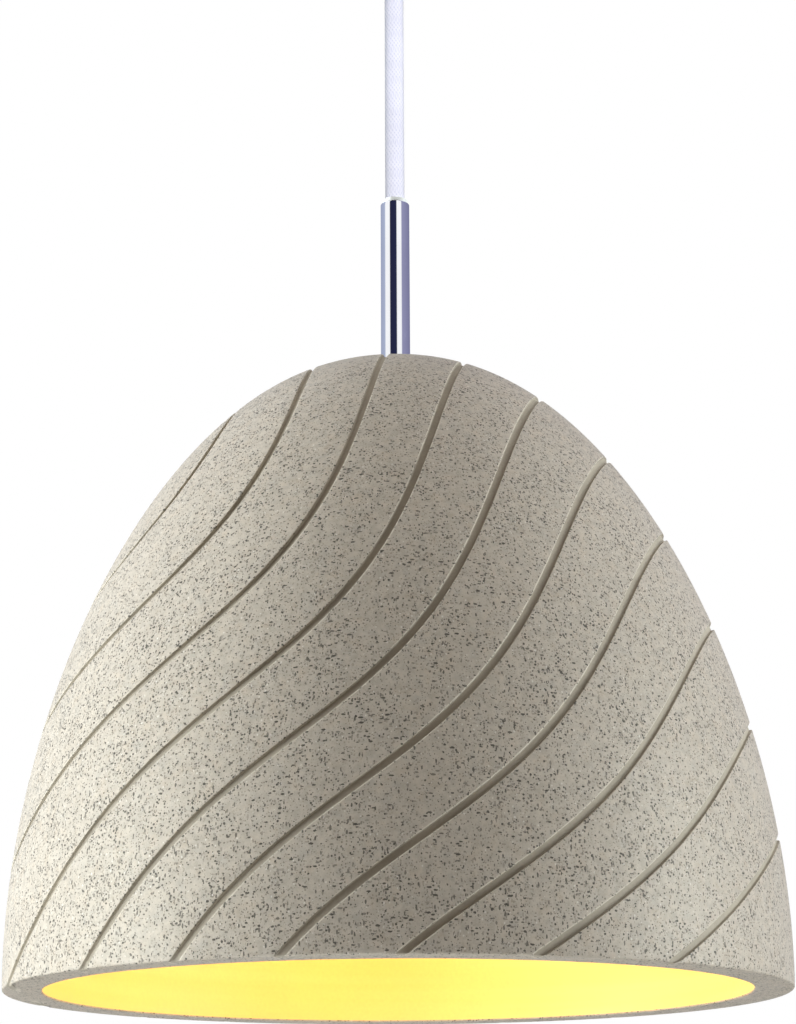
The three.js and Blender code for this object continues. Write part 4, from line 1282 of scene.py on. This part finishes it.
def wire(name, finish, body, points, node):
    """An insulated conductor on a smooth line through the points."""
    line = bpy.data.curves.new(name, "CURVE")
    line.dimensions = "3D"
    run = line.splines.new("BEZIER")
    run.bezier_points.add(len(points) - 1)
    for knot, place in zip(run.bezier_points, points):
        knot.co = place
        knot.handle_left_type = knot.handle_right_type = "AUTO"
    line.resolution_u = 6
    line.bevel_depth = 1 * MM
    line.bevel_resolution = 4
    line.use_fill_caps = True
    piece = bpy.data.objects.new(name, line)
    bpy.context.scene.collection.objects.link(piece)
    activate(piece)
    bpy.ops.object.convert(target="MESH")
    piece = bpy.context.object
    edit(piece)
    tidy_skin()
    return finish_piece(piece, finish, body, node)


def washer(name, finish, body, node, bore, soft=0.2 * MM):
    piece = ring(name, bore, reach(node), bottom(node), top(node), 64)
    return finish_piece(soften(piece, soft), finish, body, node)


# --------------------------------------------------------------------------------------------------
# Ceiling end
# --------------------------------------------------------------------------------------------------


class LAMP_OT_bracket(bpy.types.Operator):
    """Bend the mounting bracket and cut its slots and holes"""

    bl_idname = "lamp.bracket"
    bl_label = "Ceiling bracket"

    def execute(self, context):
        low, high = bounds_of("mounting_bracket")
        half, width, thick, bend = high.x, high.y - low.y, 2 * MM, 4 * MM
        centre = half - bend
        outer = [(centre + x, -bend + z) for x, z in arc(0, 0, bend, 90, 0, 8)]
        inner = [(centre + x, -bend + z) for x, z in arc(0, 0, bend - thick, 0, 90, 8)]
        right = [*outer, (half, low.z), (half - thick, low.z), *inner]
        left = [(-x, z) for x, z in reversed(right)]
        strap = upright(slab("ceiling_bracket", [*right, *left], -width / 2, width / 2))
        slot_x, slot_half, slot_round = 30 * MM, 2.9 * MM, 2.6 * MM
        for way in (-1, 1):
            outline = [
                *[(slot_half + x, y) for x, y in arc(0, 0, slot_round, -90, 90, 16)],
                *[(-slot_half + x, y) for x, y in arc(0, 0, slot_round, 90, 270, 16)],
            ]
            cutter = slab("cutter", outline, -thick - MM, MM)
            carve(strap, move_piece(cutter, (way * slot_x, 0, 0)))
            drill(strap, 1.4 * MM, -thick, 0, 32, (way * middle("block_screw_right").x, 0))
        side = middle("canopy_screw_right")
        carve(strap, rod_along("X", 2.2 * MM, -half - MM, half + MM, (0, side.z)))
        drill(strap, 2.0 * MM, -thick, 0, 32, (middle("earth_screw").x, 0))
        soften(strap, 0.3 * MM, 35)
        finish_piece(strap, "zinc", "ceiling_mount", "mounting_bracket")
        return {"FINISHED"}


class LAMP_OT_canopy(bpy.types.Operator):
    """Spin the canopy cup and fit its two side screws"""

    bl_idname = "lamp.canopy"
    bl_label = "Canopy"

    def execute(self, context):
        radius = context.scene.lamp_sizes.canopy_radius
        low, high = bottom("canopy_cup"), top("canopy_cup")
        wall, corner, hole = 1.2 * MM, 7 * MM, 5.25 * MM
        bend, bend_level = radius - corner, low + corner
        outline = [
            (radius - wall, high),
            (radius, high),
            *stretch(radius, high - 0.6 * MM, bend_level, 6 * MM),
            *arc(bend, bend_level, corner, 0, -90, 12)[1:],
            (radius * 0.5, low),
            (hole, low),
            (hole, low + wall),
            (radius * 0.5, low + wall),
            *arc(bend, bend_level, corner - wall, -90, 0, 10),
            (radius - wall, high),
        ]
        cup = spun("canopy_shell", outline, 128)
        side = middle("canopy_screw_right")
        end = radius + MM
        carve(cup, rod_along("X", 2.2 * MM, -end, end, (0, side.z)))
        soften(cup, 0.25 * MM, 40)
        finish_piece(cup, "chrome", "ceiling_mount", "canopy_cup", angle=40)

        head = radius + CLEARANCE
        inside, outside = (corner.x for corner in bounds_of("canopy_screw_right"))
        model = slotted_screw(
            "canopy_side_screw_right", 3.8 * MM, outside - head, 1.9 * MM, head - inside
        )
        turn_piece(model, -math.pi / 2, "Y")
        move_piece(model, (head, 0, side.z))
        other = turn_piece(copy_piece(model, "canopy_side_screw_left"), math.pi, "Z")
        finish_piece(model, "chrome", "ceiling_mount", "canopy_screw_right")
        finish_piece(other, "chrome", "ceiling_mount", "canopy_screw_left")
        return {"FINISHED"}


class LAMP_OT_terminals(bpy.types.Operator):
    """Mould the terminal block and fit its barrels, screws and wires"""

    bl_idname = "lamp.terminals"
    bl_label = "Terminal block"

    def execute(self, context):
        low, high = bounds_of("terminal_block")
        size = high - low
        body = block("terminal_block_body", middle("terminal_block"), size)
        rib_x, rib_half, tower_y = 4.75 * MM, 3.4 * MM, 4.4 * MM
        for way in (-1, 1):
            gap = block("cutter", (way * rib_x, 0, low.z), (2.0 * MM, size.y + MM, 5 * MM))
            kept = block("cutter", (way * rib_x, 0, low.z), (3 * MM, 2 * rib_half, 12 * MM))
            carve(body, carve(gap, kept))
            drill(body, 1.4 * MM, low.z, high.z, 24, (way * rib_x, 0))
        poles = {name: middle(f"terminal_barrel_{name}") for name in ("live", "neutral", "earth")}
        for place in poles.values():
            carve(body, rod_along("Y", 2.8 * MM, low.y - MM, high.y + MM, (place.x, place.z)))
            for way in (-1, 1):
                carve(body, drum("cutter", 1.5 * MM, low.z - MM, place.z, 24, (place.x, way * tower_y)))
        soften(body, 0.35 * MM, 40)
        finish_piece(body, "plastic", "ceiling_mount", "terminal_block")

        across = bounds_of("terminal_barrel_neutral")
        level = middle("terminal_barrel_neutral").z
        barrel = rod_along("Y", 2.5 * MM, across[0].y, across[1].y, (0, level), 40)
        carve(barrel, rod_along("Y", 1.4 * MM, across[0].y - MM, across[1].y + MM, (0, level), 32))
        for way in (-1, 1):
            carve(barrel, drum("cutter", 1.5 * MM, level - 4 * MM, level, 24, (0, way * tower_y)))
        soften(barrel, 0.2 * MM, 40)
        pole_screw = screw_over(
            "pole_screw", "terminal_screw_neutral_lamp", 0, 1.19 * MM, 1.4 * MM, 1.2 * MM, FINE_SLOT
        )
        for name, place in poles.items():
            made = move_piece(copy_piece(barrel, f"pole_barrel_{name}"), (place.x, 0, 0))
            finish_piece(made, "brass", "ceiling_mount", f"terminal_barrel_{name}")
            for end, way in (("lamp", -1), ("mains", 1)):
                made = copy_piece(pole_screw, f"pole_screw_{name}_{end}")
                move_piece(made, (place.x, way * tower_y, 0))
                finish_piece(made, "zinc", "ceiling_mount", f"terminal_screw_{name}_{end}")
        bpy.data.objects.remove(barrel)
        bpy.data.objects.remove(pole_screw)

        x = middle("block_screw_right").x
        screw = screw_over(
            "strap_screw_right", "block_screw_right", x, 1.9 * MM, 1.4 * MM, 1.1 * MM, FINE_SLOT
        )
        other = copy_piece(screw, "strap_screw_left")
        move_piece(other, (2 * middle("block_screw_left").x, 0, 0))
        finish_piece(screw, "zinc", "ceiling_mount", "block_screw_right")
        finish_piece(other, "zinc", "ceiling_mount", "block_screw_left")
        x = middle("earth_screw").x
        earth = screw_over("earth_terminal_screw", "earth_screw", x, 3 * MM, 2.2 * MM, 1.7 * MM)
        finish_piece(earth, "brass", "ceiling_mount", "earth_screw")

        start = top("cord_head") + CLEARANCE
        face, level = low.y, poles["live"].z
        for name, way, colour in (("live", -1, "brown"), ("neutral", 0, "blue"), ("earth", 1, "green")):
            x, from_x = way * poles["earth"].x, way * 1.43 * MM
            from_y = 1.3 * MM if way == 0 else -0.6 * MM
            route = [
                (from_x, from_y, start),
                (from_x, from_y - 0.3 * MM, start + 1.5 * MM),
                ((from_x + x) / 2, (from_y + face) / 2 - MM, start + 3 * MM),
                (x, face - 3.6 * MM, (start + level) / 2 + MM),
                (x, face - 3.2 * MM, level - 1.6 * MM),
                (x, face - 0.6 * MM, level),
                (x, face + 2.6 * MM, level),
            ]
            wire(f"mains_core_{name}", f"{colour} wire", "ceiling_mount", route, f"supply_wire_{name}")
        return {"FINISHED"}


SWING = math.radians(20)  # how far the cord swings to each side


class LAMP_OT_grip(bpy.types.Operator):
    """Turn the cord grip, its nut, washer and set screw, and the ball inside it"""

    bl_idname = "lamp.grip"
    bl_label = "Cord grip"

    def execute(self, context):
        sizes = context.scene.lamp_sizes
        low, high = bottom("cord_grip"), top("cord_grip")
        drop, ball = 3.5 * MM, 7 * MM
        centre = low + drop
        socket, bore, wall = ball + CLEARANCE, sizes.cord_radius + CLEARANCE, 1.3 * MM
        flange_top, neck, flange, thread = -28.8 * MM, 6.6 * MM, 9 * MM, 4.95 * MM
        flange_low, neck_low = flange_top - 2.4 * MM, flange_top - 11.4 * MM
        bell = socket + wall
        seat = math.degrees(math.asin(drop / socket))
        throat = math.degrees(math.acos(bore / socket))
        bell_top = neck_low + 2 * MM
        outside = [
            (neck + (bell - neck) * ease(i / 8), bell_top - (neck_low - centre) * i / 8)
            for i in range(1, 9)
        ]
        outline = [
            *arc(0, centre, socket, -seat, throat, 16),
            (bore, high),
            (thread - 0.4 * MM, high),
            *thread_outline(thread, high - 0.4 * MM, flange_top + 0.5 * MM, 1 * MM, 0.4 * MM),
            (4.5 * MM, flange_top),
            (flange, flange_top),
            (flange, flange_low),
            (neck, flange_low - MM),
            (neck, bell_top),
            *outside,
            (bell, low),
            (socket * math.cos(math.radians(seat)), low),
        ]
        grip = spun("grip_bell", outline, 96)
        tap_for_grub(grip, "grip_set_screw", neck, bore)
        soften(grip, 0.3 * MM, 45)
        finish_piece(grip, "chrome", "ceiling_mount", "cord_grip", angle=40)
        grub_screw("grip_grub_screw", "ceiling_mount", "grip_set_screw")
        washer("grip_plate_washer", "zinc", "ceiling_mount", "grip_washer", 5.25 * MM)
        fitted_nut("grip_lock_nut", "ceiling_mount", "grip_nut", 5.25 * MM)

        above, below = 4.5 * MM, 3.2 * MM
        upper = math.degrees(math.asin(above / ball))
        lower = math.degrees(math.asin(below / ball))
        eye = 2 * MM
        waist = sizes.cord_radius / math.cos(SWING) + CLEARANCE
        outline = [
            *arc(0, centre, ball, -lower, upper, 20),
            (eye, centre + above),
            *arc(0, centre, bore, math.degrees(math.acos(eye / bore)), 0, 8),
            (waist, centre),
            (waist + below * math.tan(SWING), centre - below),
            (ball * math.cos(math.radians(lower)), centre - below),
        ]
        socket_ball = soften(spun("swivel_socket_ball", outline, 72), 0.2 * MM, 40)
        finish_piece(socket_ball, "plastic", "swivel", "swivel_ball")

        low, high = bottom("cord_head"), top("cord_head")
        head = braided("cord_in_grip", sizes.cord_radius, low, high, sizes.yarn_relief, 4, 48)
        finish_piece(head, "braid", "ceiling_mount", "cord_head", angle=80)
        return {"FINISHED"}


# --------------------------------------------------------------------------------------------------
# Inside the shade
# --------------------------------------------------------------------------------------------------


BULB_PITCH = 3.629 * MM
THREAD_DEPTH = 1.05 * MM
FLUTES = 36
FLUTE_RUN = 0.8 * MM  # how far a flute takes to reach its depth


class LAMP_OT_clamp(bpy.types.Operator):
    """Stack the washers and the nut that clamp the shade to the stem"""

    bl_idname = "lamp.clamp"
    bl_label = "Shade clamp"

    def execute(self, context):
        bore = 5.3 * MM
        washer("crown_pad", "rubber", "pendant", "pad_washer", bore, 0.35 * MM)
        washer("crown_plate", "zinc", "pendant", "load_washer", bore, 0.3 * MM)
        low, high, radius = bottom("lock_washer"), top("lock_washer"), reach("lock_washer")
        teeth = 12
        outline = []
        for i in range(teeth):
            for share, span in ((0.0, 0.86), (0.12, 1.0), (0.5, 1.0), (0.62, 0.86)):
                angle = TURN * (i + share) / teeth
                outline.append((span * radius * math.cos(angle), span * radius * math.sin(angle)))
        lock = slab("tooth_washer", outline, low, high)
        drill(lock, bore, low, high)
        finish_piece(soften(lock, 0.1 * MM), "zinc", "pendant", "lock_washer")
        fitted_nut("crown_nut", "pendant", "stem_nut", bore)
        return {"FINISHED"}


def flute(piece, count, depth, low, high, outside):
    """Presses upright flutes into a round wall between two levels."""
    for corner in piece.data.vertices:
        radius = math.hypot(corner.co.x, corner.co.y)
        if radius < outside or not low < corner.co.z < high:
            continue
        angle = math.atan2(corner.co.y, corner.co.x)
        fade = min(1.0, (corner.co.z - low) / FLUTE_RUN, (high - corner.co.z) / FLUTE_RUN)
        sunk = depth * fade * (0.5 - 0.5 * math.cos(angle * count)) ** 2
        corner.co.x *= 1 - sunk / radius
        corner.co.y *= 1 - sunk / radius
    return piece


def thread_wall(piece, low, high, depth):
    """Rolls the bulb's round thread into a thin wall: it rises one pitch a turn, right-handed."""
    for corner in piece.data.vertices:
        rise, left = (corner.co.z - low) / BULB_PITCH, (high - corner.co.z) / BULB_PITCH
        fade = min(1.0, rise, left)
        if fade <= 0:
            continue
        radius = math.hypot(corner.co.x, corner.co.y)
        angle = math.atan2(corner.co.y, corner.co.x)
        wave = math.cos(angle - TURN * corner.co.z / BULB_PITCH)
        scale = 1 - depth * fade * (0.5 - 0.5 * wave) / radius
        corner.co.x *= scale
        corner.co.y *= scale
    return piece


class LAMP_OT_lampholder(bpy.types.Operator):
    """Mould the lampholder, with its threaded sleeve, contacts and wires"""

    bl_idname = "lamp.lampholder"
    bl_label = "Lampholder"

    def execute(self, context):
        sizes = context.scene.lamp_sizes
        bore, neck, wall = sizes.stem_radius + CLEARANCE, 8 * MM, 2 * MM
        low, high, radius = bottom("holder_cap"), top("holder_cap"), reach("holder_cap")
        roof, corner = high - 6 * MM, 6.5 * MM
        bend, bend_level = radius - corner, roof - corner
        outline = [
            (bore, high),
            (neck, high),
            (neck, roof + MM),
            (neck + MM, roof),
            *arc(bend, bend_level, corner, 90, 0, 10),
            *stretch(radius, bend_level, low + 2.2 * MM, 1 * MM)[1:],
            (radius - 0.4 * MM, low + 1.8 * MM),
            (radius - 0.4 * MM, low),
            (radius - wall, low),
            *arc(bend, bend_level, corner - wall, 0, 90, 8),
            (bore, roof - wall),
            (bore, high),
        ]
        cap = spun("holder_hood", outline, 144)
        flute(cap, FLUTES, 0.5 * MM, low + 2.6 * MM, bend_level - 0.4 * MM, radius - 0.6 * MM)
        tap_for_grub(cap, "holder_set_screw", neck, bore)
        finish_piece(cap, "plastic", "pendant", "holder_cap", angle=40)
        grub_screw("stem_grub_screw", "pendant", "holder_set_screw")

        low, high = bottom("holder_shell"), top("holder_shell")
        inner, mouth = radius - wall, radius + 1 * MM
        seat = bottom("holder_core") - CLEARANCE
        sleeve = 14.6 * MM
        cone = [
            (radius + (mouth - radius) * i / 20, seat + (low + 2 * MM - seat) * i / 20)
            for i in range(1, 21)
        ]
        outline = [
            (inner, high),
            (radius, high),
            *stretch(radius, high - 0.6 * MM, seat + MM, 1.2 * MM),
            (radius, seat),
            *cone,
            *arc(mouth - MM, low + MM, MM, 0, -90, 4),
            *arc(mouth - wall + 0.5 * MM, low + 0.5 * MM, 0.5 * MM, -90, -180, 3),
            (inner, seat - 2 * MM),
            (sleeve, seat - 2 * MM),
            (sleeve, seat),
            (inner, seat),
            (inner, high),
        ]
        shell = spun("holder_skirt", outline, 144)
        flute(shell, FLUTES, 0.45 * MM, low + 14 * MM, seat + 1.5 * MM, radius - 0.6 * MM)
        finish_piece(shell, "plastic", "pendant", "holder_shell", angle=40)

        low, high = bottom("thread_shell"), top("thread_shell")
        crest, eye = 13.5 * MM, 3 * MM
        back, roof = crest + 0.5 * MM, high - 0.6 * MM
        outline = [
            (eye, high),
            (back, high),
            *stretch(back, roof, low + 0.5 * MM, 0.45 * MM),
            (back, low),
            (crest, low),
            *stretch(crest, low + 0.5 * MM, roof, 0.45 * MM),
            (eye, roof),
            (eye, high),
        ]
        sleeve = spun("contact_sleeve", outline, 72)
        thread_wall(sleeve, low + 1.5 * MM, high - 1.5 * MM, THREAD_DEPTH)
        finish_piece(sleeve, "brass", "pendant", "thread_shell", angle=60)

        low, high, radius = bottom("holder_core"), top("holder_core"), reach("holder_core")
        core = soften(drum("holder_insulator", radius, low, high, 96), 0.6 * MM)
        drill(core, 1.8 * MM, low, high, 32)
        spread = middle("core_screw_right").x
        for way in (-1, 1):
            carve(core, drum("cutter", 1.9 * MM, high - 7 * MM, high + MM, 32, (way * spread, 0)))
        carve(core, block("cutter", (0, 0, high), (5 * MM, 2.6 * radius, 1.6 * MM)))
        finish_piece(core, "porcelain", "pendant", "holder_core", angle=40)

        box, head = bounds_of("core_screw_right"), 2 * MM
        shank = box[1].z - box[0].z - head
        model = slotted_screw("core_terminal_right", 2.8 * MM, head, 1.6 * MM, shank, 0.7 * MM)
        turn_piece(model, math.pi, "X")
        move_piece(model, (spread, 0, box[1].z - head))
        other = turn_piece(copy_piece(model, "core_terminal_left"), math.pi, "Z")
        finish_piece(model, "brass", "pendant", "core_screw_right")
        finish_piece(other, "brass", "pendant", "core_screw_left")

        low, high = bottom("centre_contact"), top("centre_contact")
        plate = low + 4 * MM
        outline = [
            *rounded_end(2.6 * MM, 0.8 * MM, low),
            (4 * MM, low + MM),
            (4 * MM, plate - 0.4 * MM),
            (3.6 * MM, plate),
            (1.5 * MM, plate),
            (1.5 * MM, high),
            (0, high),
        ]
        finish_piece(spun("centre_spring", outline, 48), "brass", "pendant", "centre_contact")

        low, high = bounds_of("earth_tag")
        tag = ring("earth_solder_tag", bore, 8 * MM, low.z, high.z, 64)
        root = 7 * MM  # where the tab leaves the ring
        centre = (0, (root + high.y) / 2, (low.z + high.z) / 2)
        tab = block("tab", centre, (5 * MM, high.y - root, high.z - low.z))
        soften(tab, 0.15 * MM)
        finish_piece(combine(tag, tab, "UNION"), "brass", "pendant", "earth_tag")
        fitted_nut("hood_nut", "pendant", "cap_nut", bore)

        low, high = bottom("cord_tail"), top("cord_tail")
        tail = braided("cord_in_stem", sizes.cord_radius, low, high, sizes.yarn_relief, 4, 200)
        finish_piece(tail, "braid", "pendant", "cord_tail", angle=80)
        start, lay = low - CLEARANCE, top("holder_core") + 1.3 * MM
        for name, way, colour in (("live", -1, "brown"), ("neutral", 1, "blue")):
            x, end = way * 1.43 * MM, way * 6.4 * MM
            route = [
                (x, -0.6 * MM, start),
                (x, -0.6 * MM, start - 1.5 * MM),
                (x + way * 1.2 * MM, -0.5 * MM, (start + lay) / 2),
                ((x + end) / 2 + way * 0.6 * MM, -0.2 * MM, lay + 0.8 * MM),
                (end, 0, lay),
            ]
            wire(f"lamp_core_{name}", f"{colour} wire", "pendant", route, f"lamp_wire_{name}")
        end, out = bottom("earth_tag") - CLEARANCE, 10.7 * MM
        route = [
            (0, 1.3 * MM, start),
            (0, 1.5 * MM, start - 1.2 * MM),
            (0, out * 0.6, start - 2.6 * MM),
            (0, out - 0.6 * MM, start - 0.4 * MM),
            (0, out, (start + end) / 2),
            (0, out, end),
        ]
        wire("lamp_core_earth", "green wire", "pendant", route, "lamp_wire_earth")
        return {"FINISHED"}


class LAMP_OT_bulb(bpy.types.Operator):
    """Build the bulb: its tip, insulator, threaded cap, body and lit globe"""

    bl_idname = "lamp.bulb"
    bl_label = "Bulb"

    def execute(self, context):
        low, high = bottom("bulb_tip"), top("bulb_tip")
        outline = [
            (0, high),
            (1.6 * MM, high - 0.08 * MM),
            (2.8 * MM, high - 0.3 * MM),
            (3.8 * MM, high - 0.75 * MM),
            (4.3 * MM, high - 1.3 * MM),
            (4.4 * MM, low + 0.2 * MM),
            (4.2 * MM, low),
            (0, low),
        ]
        finish_piece(spun("bulb_tip_contact", outline, 56), "zinc", "bulb_tip", "bulb_tip")

        low, high, radius = bottom("bulb_insulator"), top("bulb_insulator"), reach("bulb_insulator")
        outline = [
            (0, high),
            (4.8 * MM, high),
            (5.4 * MM, high - 0.15 * MM),
            (8.4 * MM, high - 1.7 * MM),
            (10.2 * MM, high - 2.6 * MM),
            (radius, low + 0.8 * MM),
            (radius, low),
            (0, low),
        ]
        finish_piece(spun("bulb_base_insulator", outline, 72), "black glass", "bulb", "bulb_insulator")

        low, high, crest = bottom("bulb_cap"), top("bulb_cap"), reach("bulb_cap")
        wall = 0.45 * MM
        outline = [
            (11.25 * MM, high),
            (11.9 * MM, high - 0.1 * MM),
            (12.5 * MM, high - 0.7 * MM),
            *stretch(crest, high - 1.6 * MM, low, 0.4 * MM),
            *stretch(crest - wall, low, high - 2 * MM, 0.4 * MM),
            (11.25 * MM, high - 0.8 * MM),
            (11.25 * MM, high),
        ]
        cap = spun("bulb_screw_cap", outline, 96)
        thread_wall(cap, low + 3.2 * MM, high - 0.4 * MM, THREAD_DEPTH)
        finish_piece(cap, "zinc", "bulb", "bulb_cap", angle=60)

        low, high = bottom("bulb_body"), top("bulb_body")
        neck, shoulder, wall = 13.4 * MM, 22 * MM, 1.6 * MM
        collar, spigot = high - 3 * MM, 12.25 * MM
        flare = []
        for i in range(21):
            share = 0.75 * i / 20 + 0.25 * ease(i / 20)
            level = collar - 3 * MM + (low - collar + 3 * MM) * i / 20
            flare.append((neck + (shoulder - neck) * share, level))
        outline = [
            (spigot - wall, high),
            (spigot, high),
            (spigot, collar),
            (neck, collar),
            *flare,
            *[(r - wall, z) for r, z in reversed(flare)],
            (spigot - wall, collar),
            (spigot - wall, high),
        ]
        body = soften(spun("bulb_housing", outline, 96), 0.25 * MM, 45)
        finish_piece(body, "plastic", "bulb", "bulb_body", angle=40)

        low, high, radius = bottom("bulb_globe"), top("bulb_globe"), 30 * MM
        centre = low + radius
        opening = math.degrees(math.asin((high - centre) / radius))
        inner = radius - 1.2 * MM
        outline = [
            *arc(0, centre, radius, -90, opening, 44),
            *arc(0, centre, inner, math.degrees(math.asin((high - centre) / inner)), -90, 40),
        ]
        outline[0], outline[-1] = (0, low), (0, centre - inner)
        finish_piece(spun("bulb_globe_glass", outline, 96), "opal", "bulb", "bulb_globe")

        for node, finish in (("driver_board", "driver board"), ("led_board", "lamp board")):
            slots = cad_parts[node].material_slots
            slots[0].material = material(finish)
        return {"FINISHED"}


OPERATORS = (
    LAMP_OT_studio,
    LAMP_OT_cord,
    LAMP_OT_shade,
    LAMP_OT_stem,
    LAMP_OT_bracket,
    LAMP_OT_canopy,
    LAMP_OT_terminals,
    LAMP_OT_grip,
    LAMP_OT_clamp,
    LAMP_OT_lampholder,
    LAMP_OT_bulb,
)


class LAMP_PT_panel(bpy.types.Panel):
    """Lists the lamp's steps in the sidebar"""

    bl_idname = "LAMP_PT_panel"
    bl_label = "Stone Pendant Light"
    bl_space_type = "VIEW_3D"
    bl_region_type = "UI"
    bl_category = "Lamp"

    def draw(self, context):
        for group in (context.scene.lamp_sizes, context.scene.lamp_colours):
            box = self.layout.box()
            for name in group.bl_rna.properties.keys():
                if name not in ("rna_type", "name"):
                    box.prop(group, name)
        for step in OPERATORS:
            self.layout.operator(step.bl_idname)


CLASSES = (LampSizes, LampColours, *OPERATORS, LAMP_PT_panel)


def register():
    for item in CLASSES:
        bpy.utils.register_class(item)
    bpy.types.Scene.lamp_sizes = bpy.props.PointerProperty(type=LampSizes)
    bpy.types.Scene.lamp_colours = bpy.props.PointerProperty(type=LampColours)


def unregister():
    del bpy.types.Scene.lamp_colours
    del bpy.types.Scene.lamp_sizes
    for item in reversed(CLASSES):
        bpy.utils.unregister_class(item)


def main():
    register()
    for step in OPERATORS:
        category, name = step.bl_idname.split(".")
        getattr(getattr(bpy.ops, category), name)()


if __name__ == "__main__":
    main()
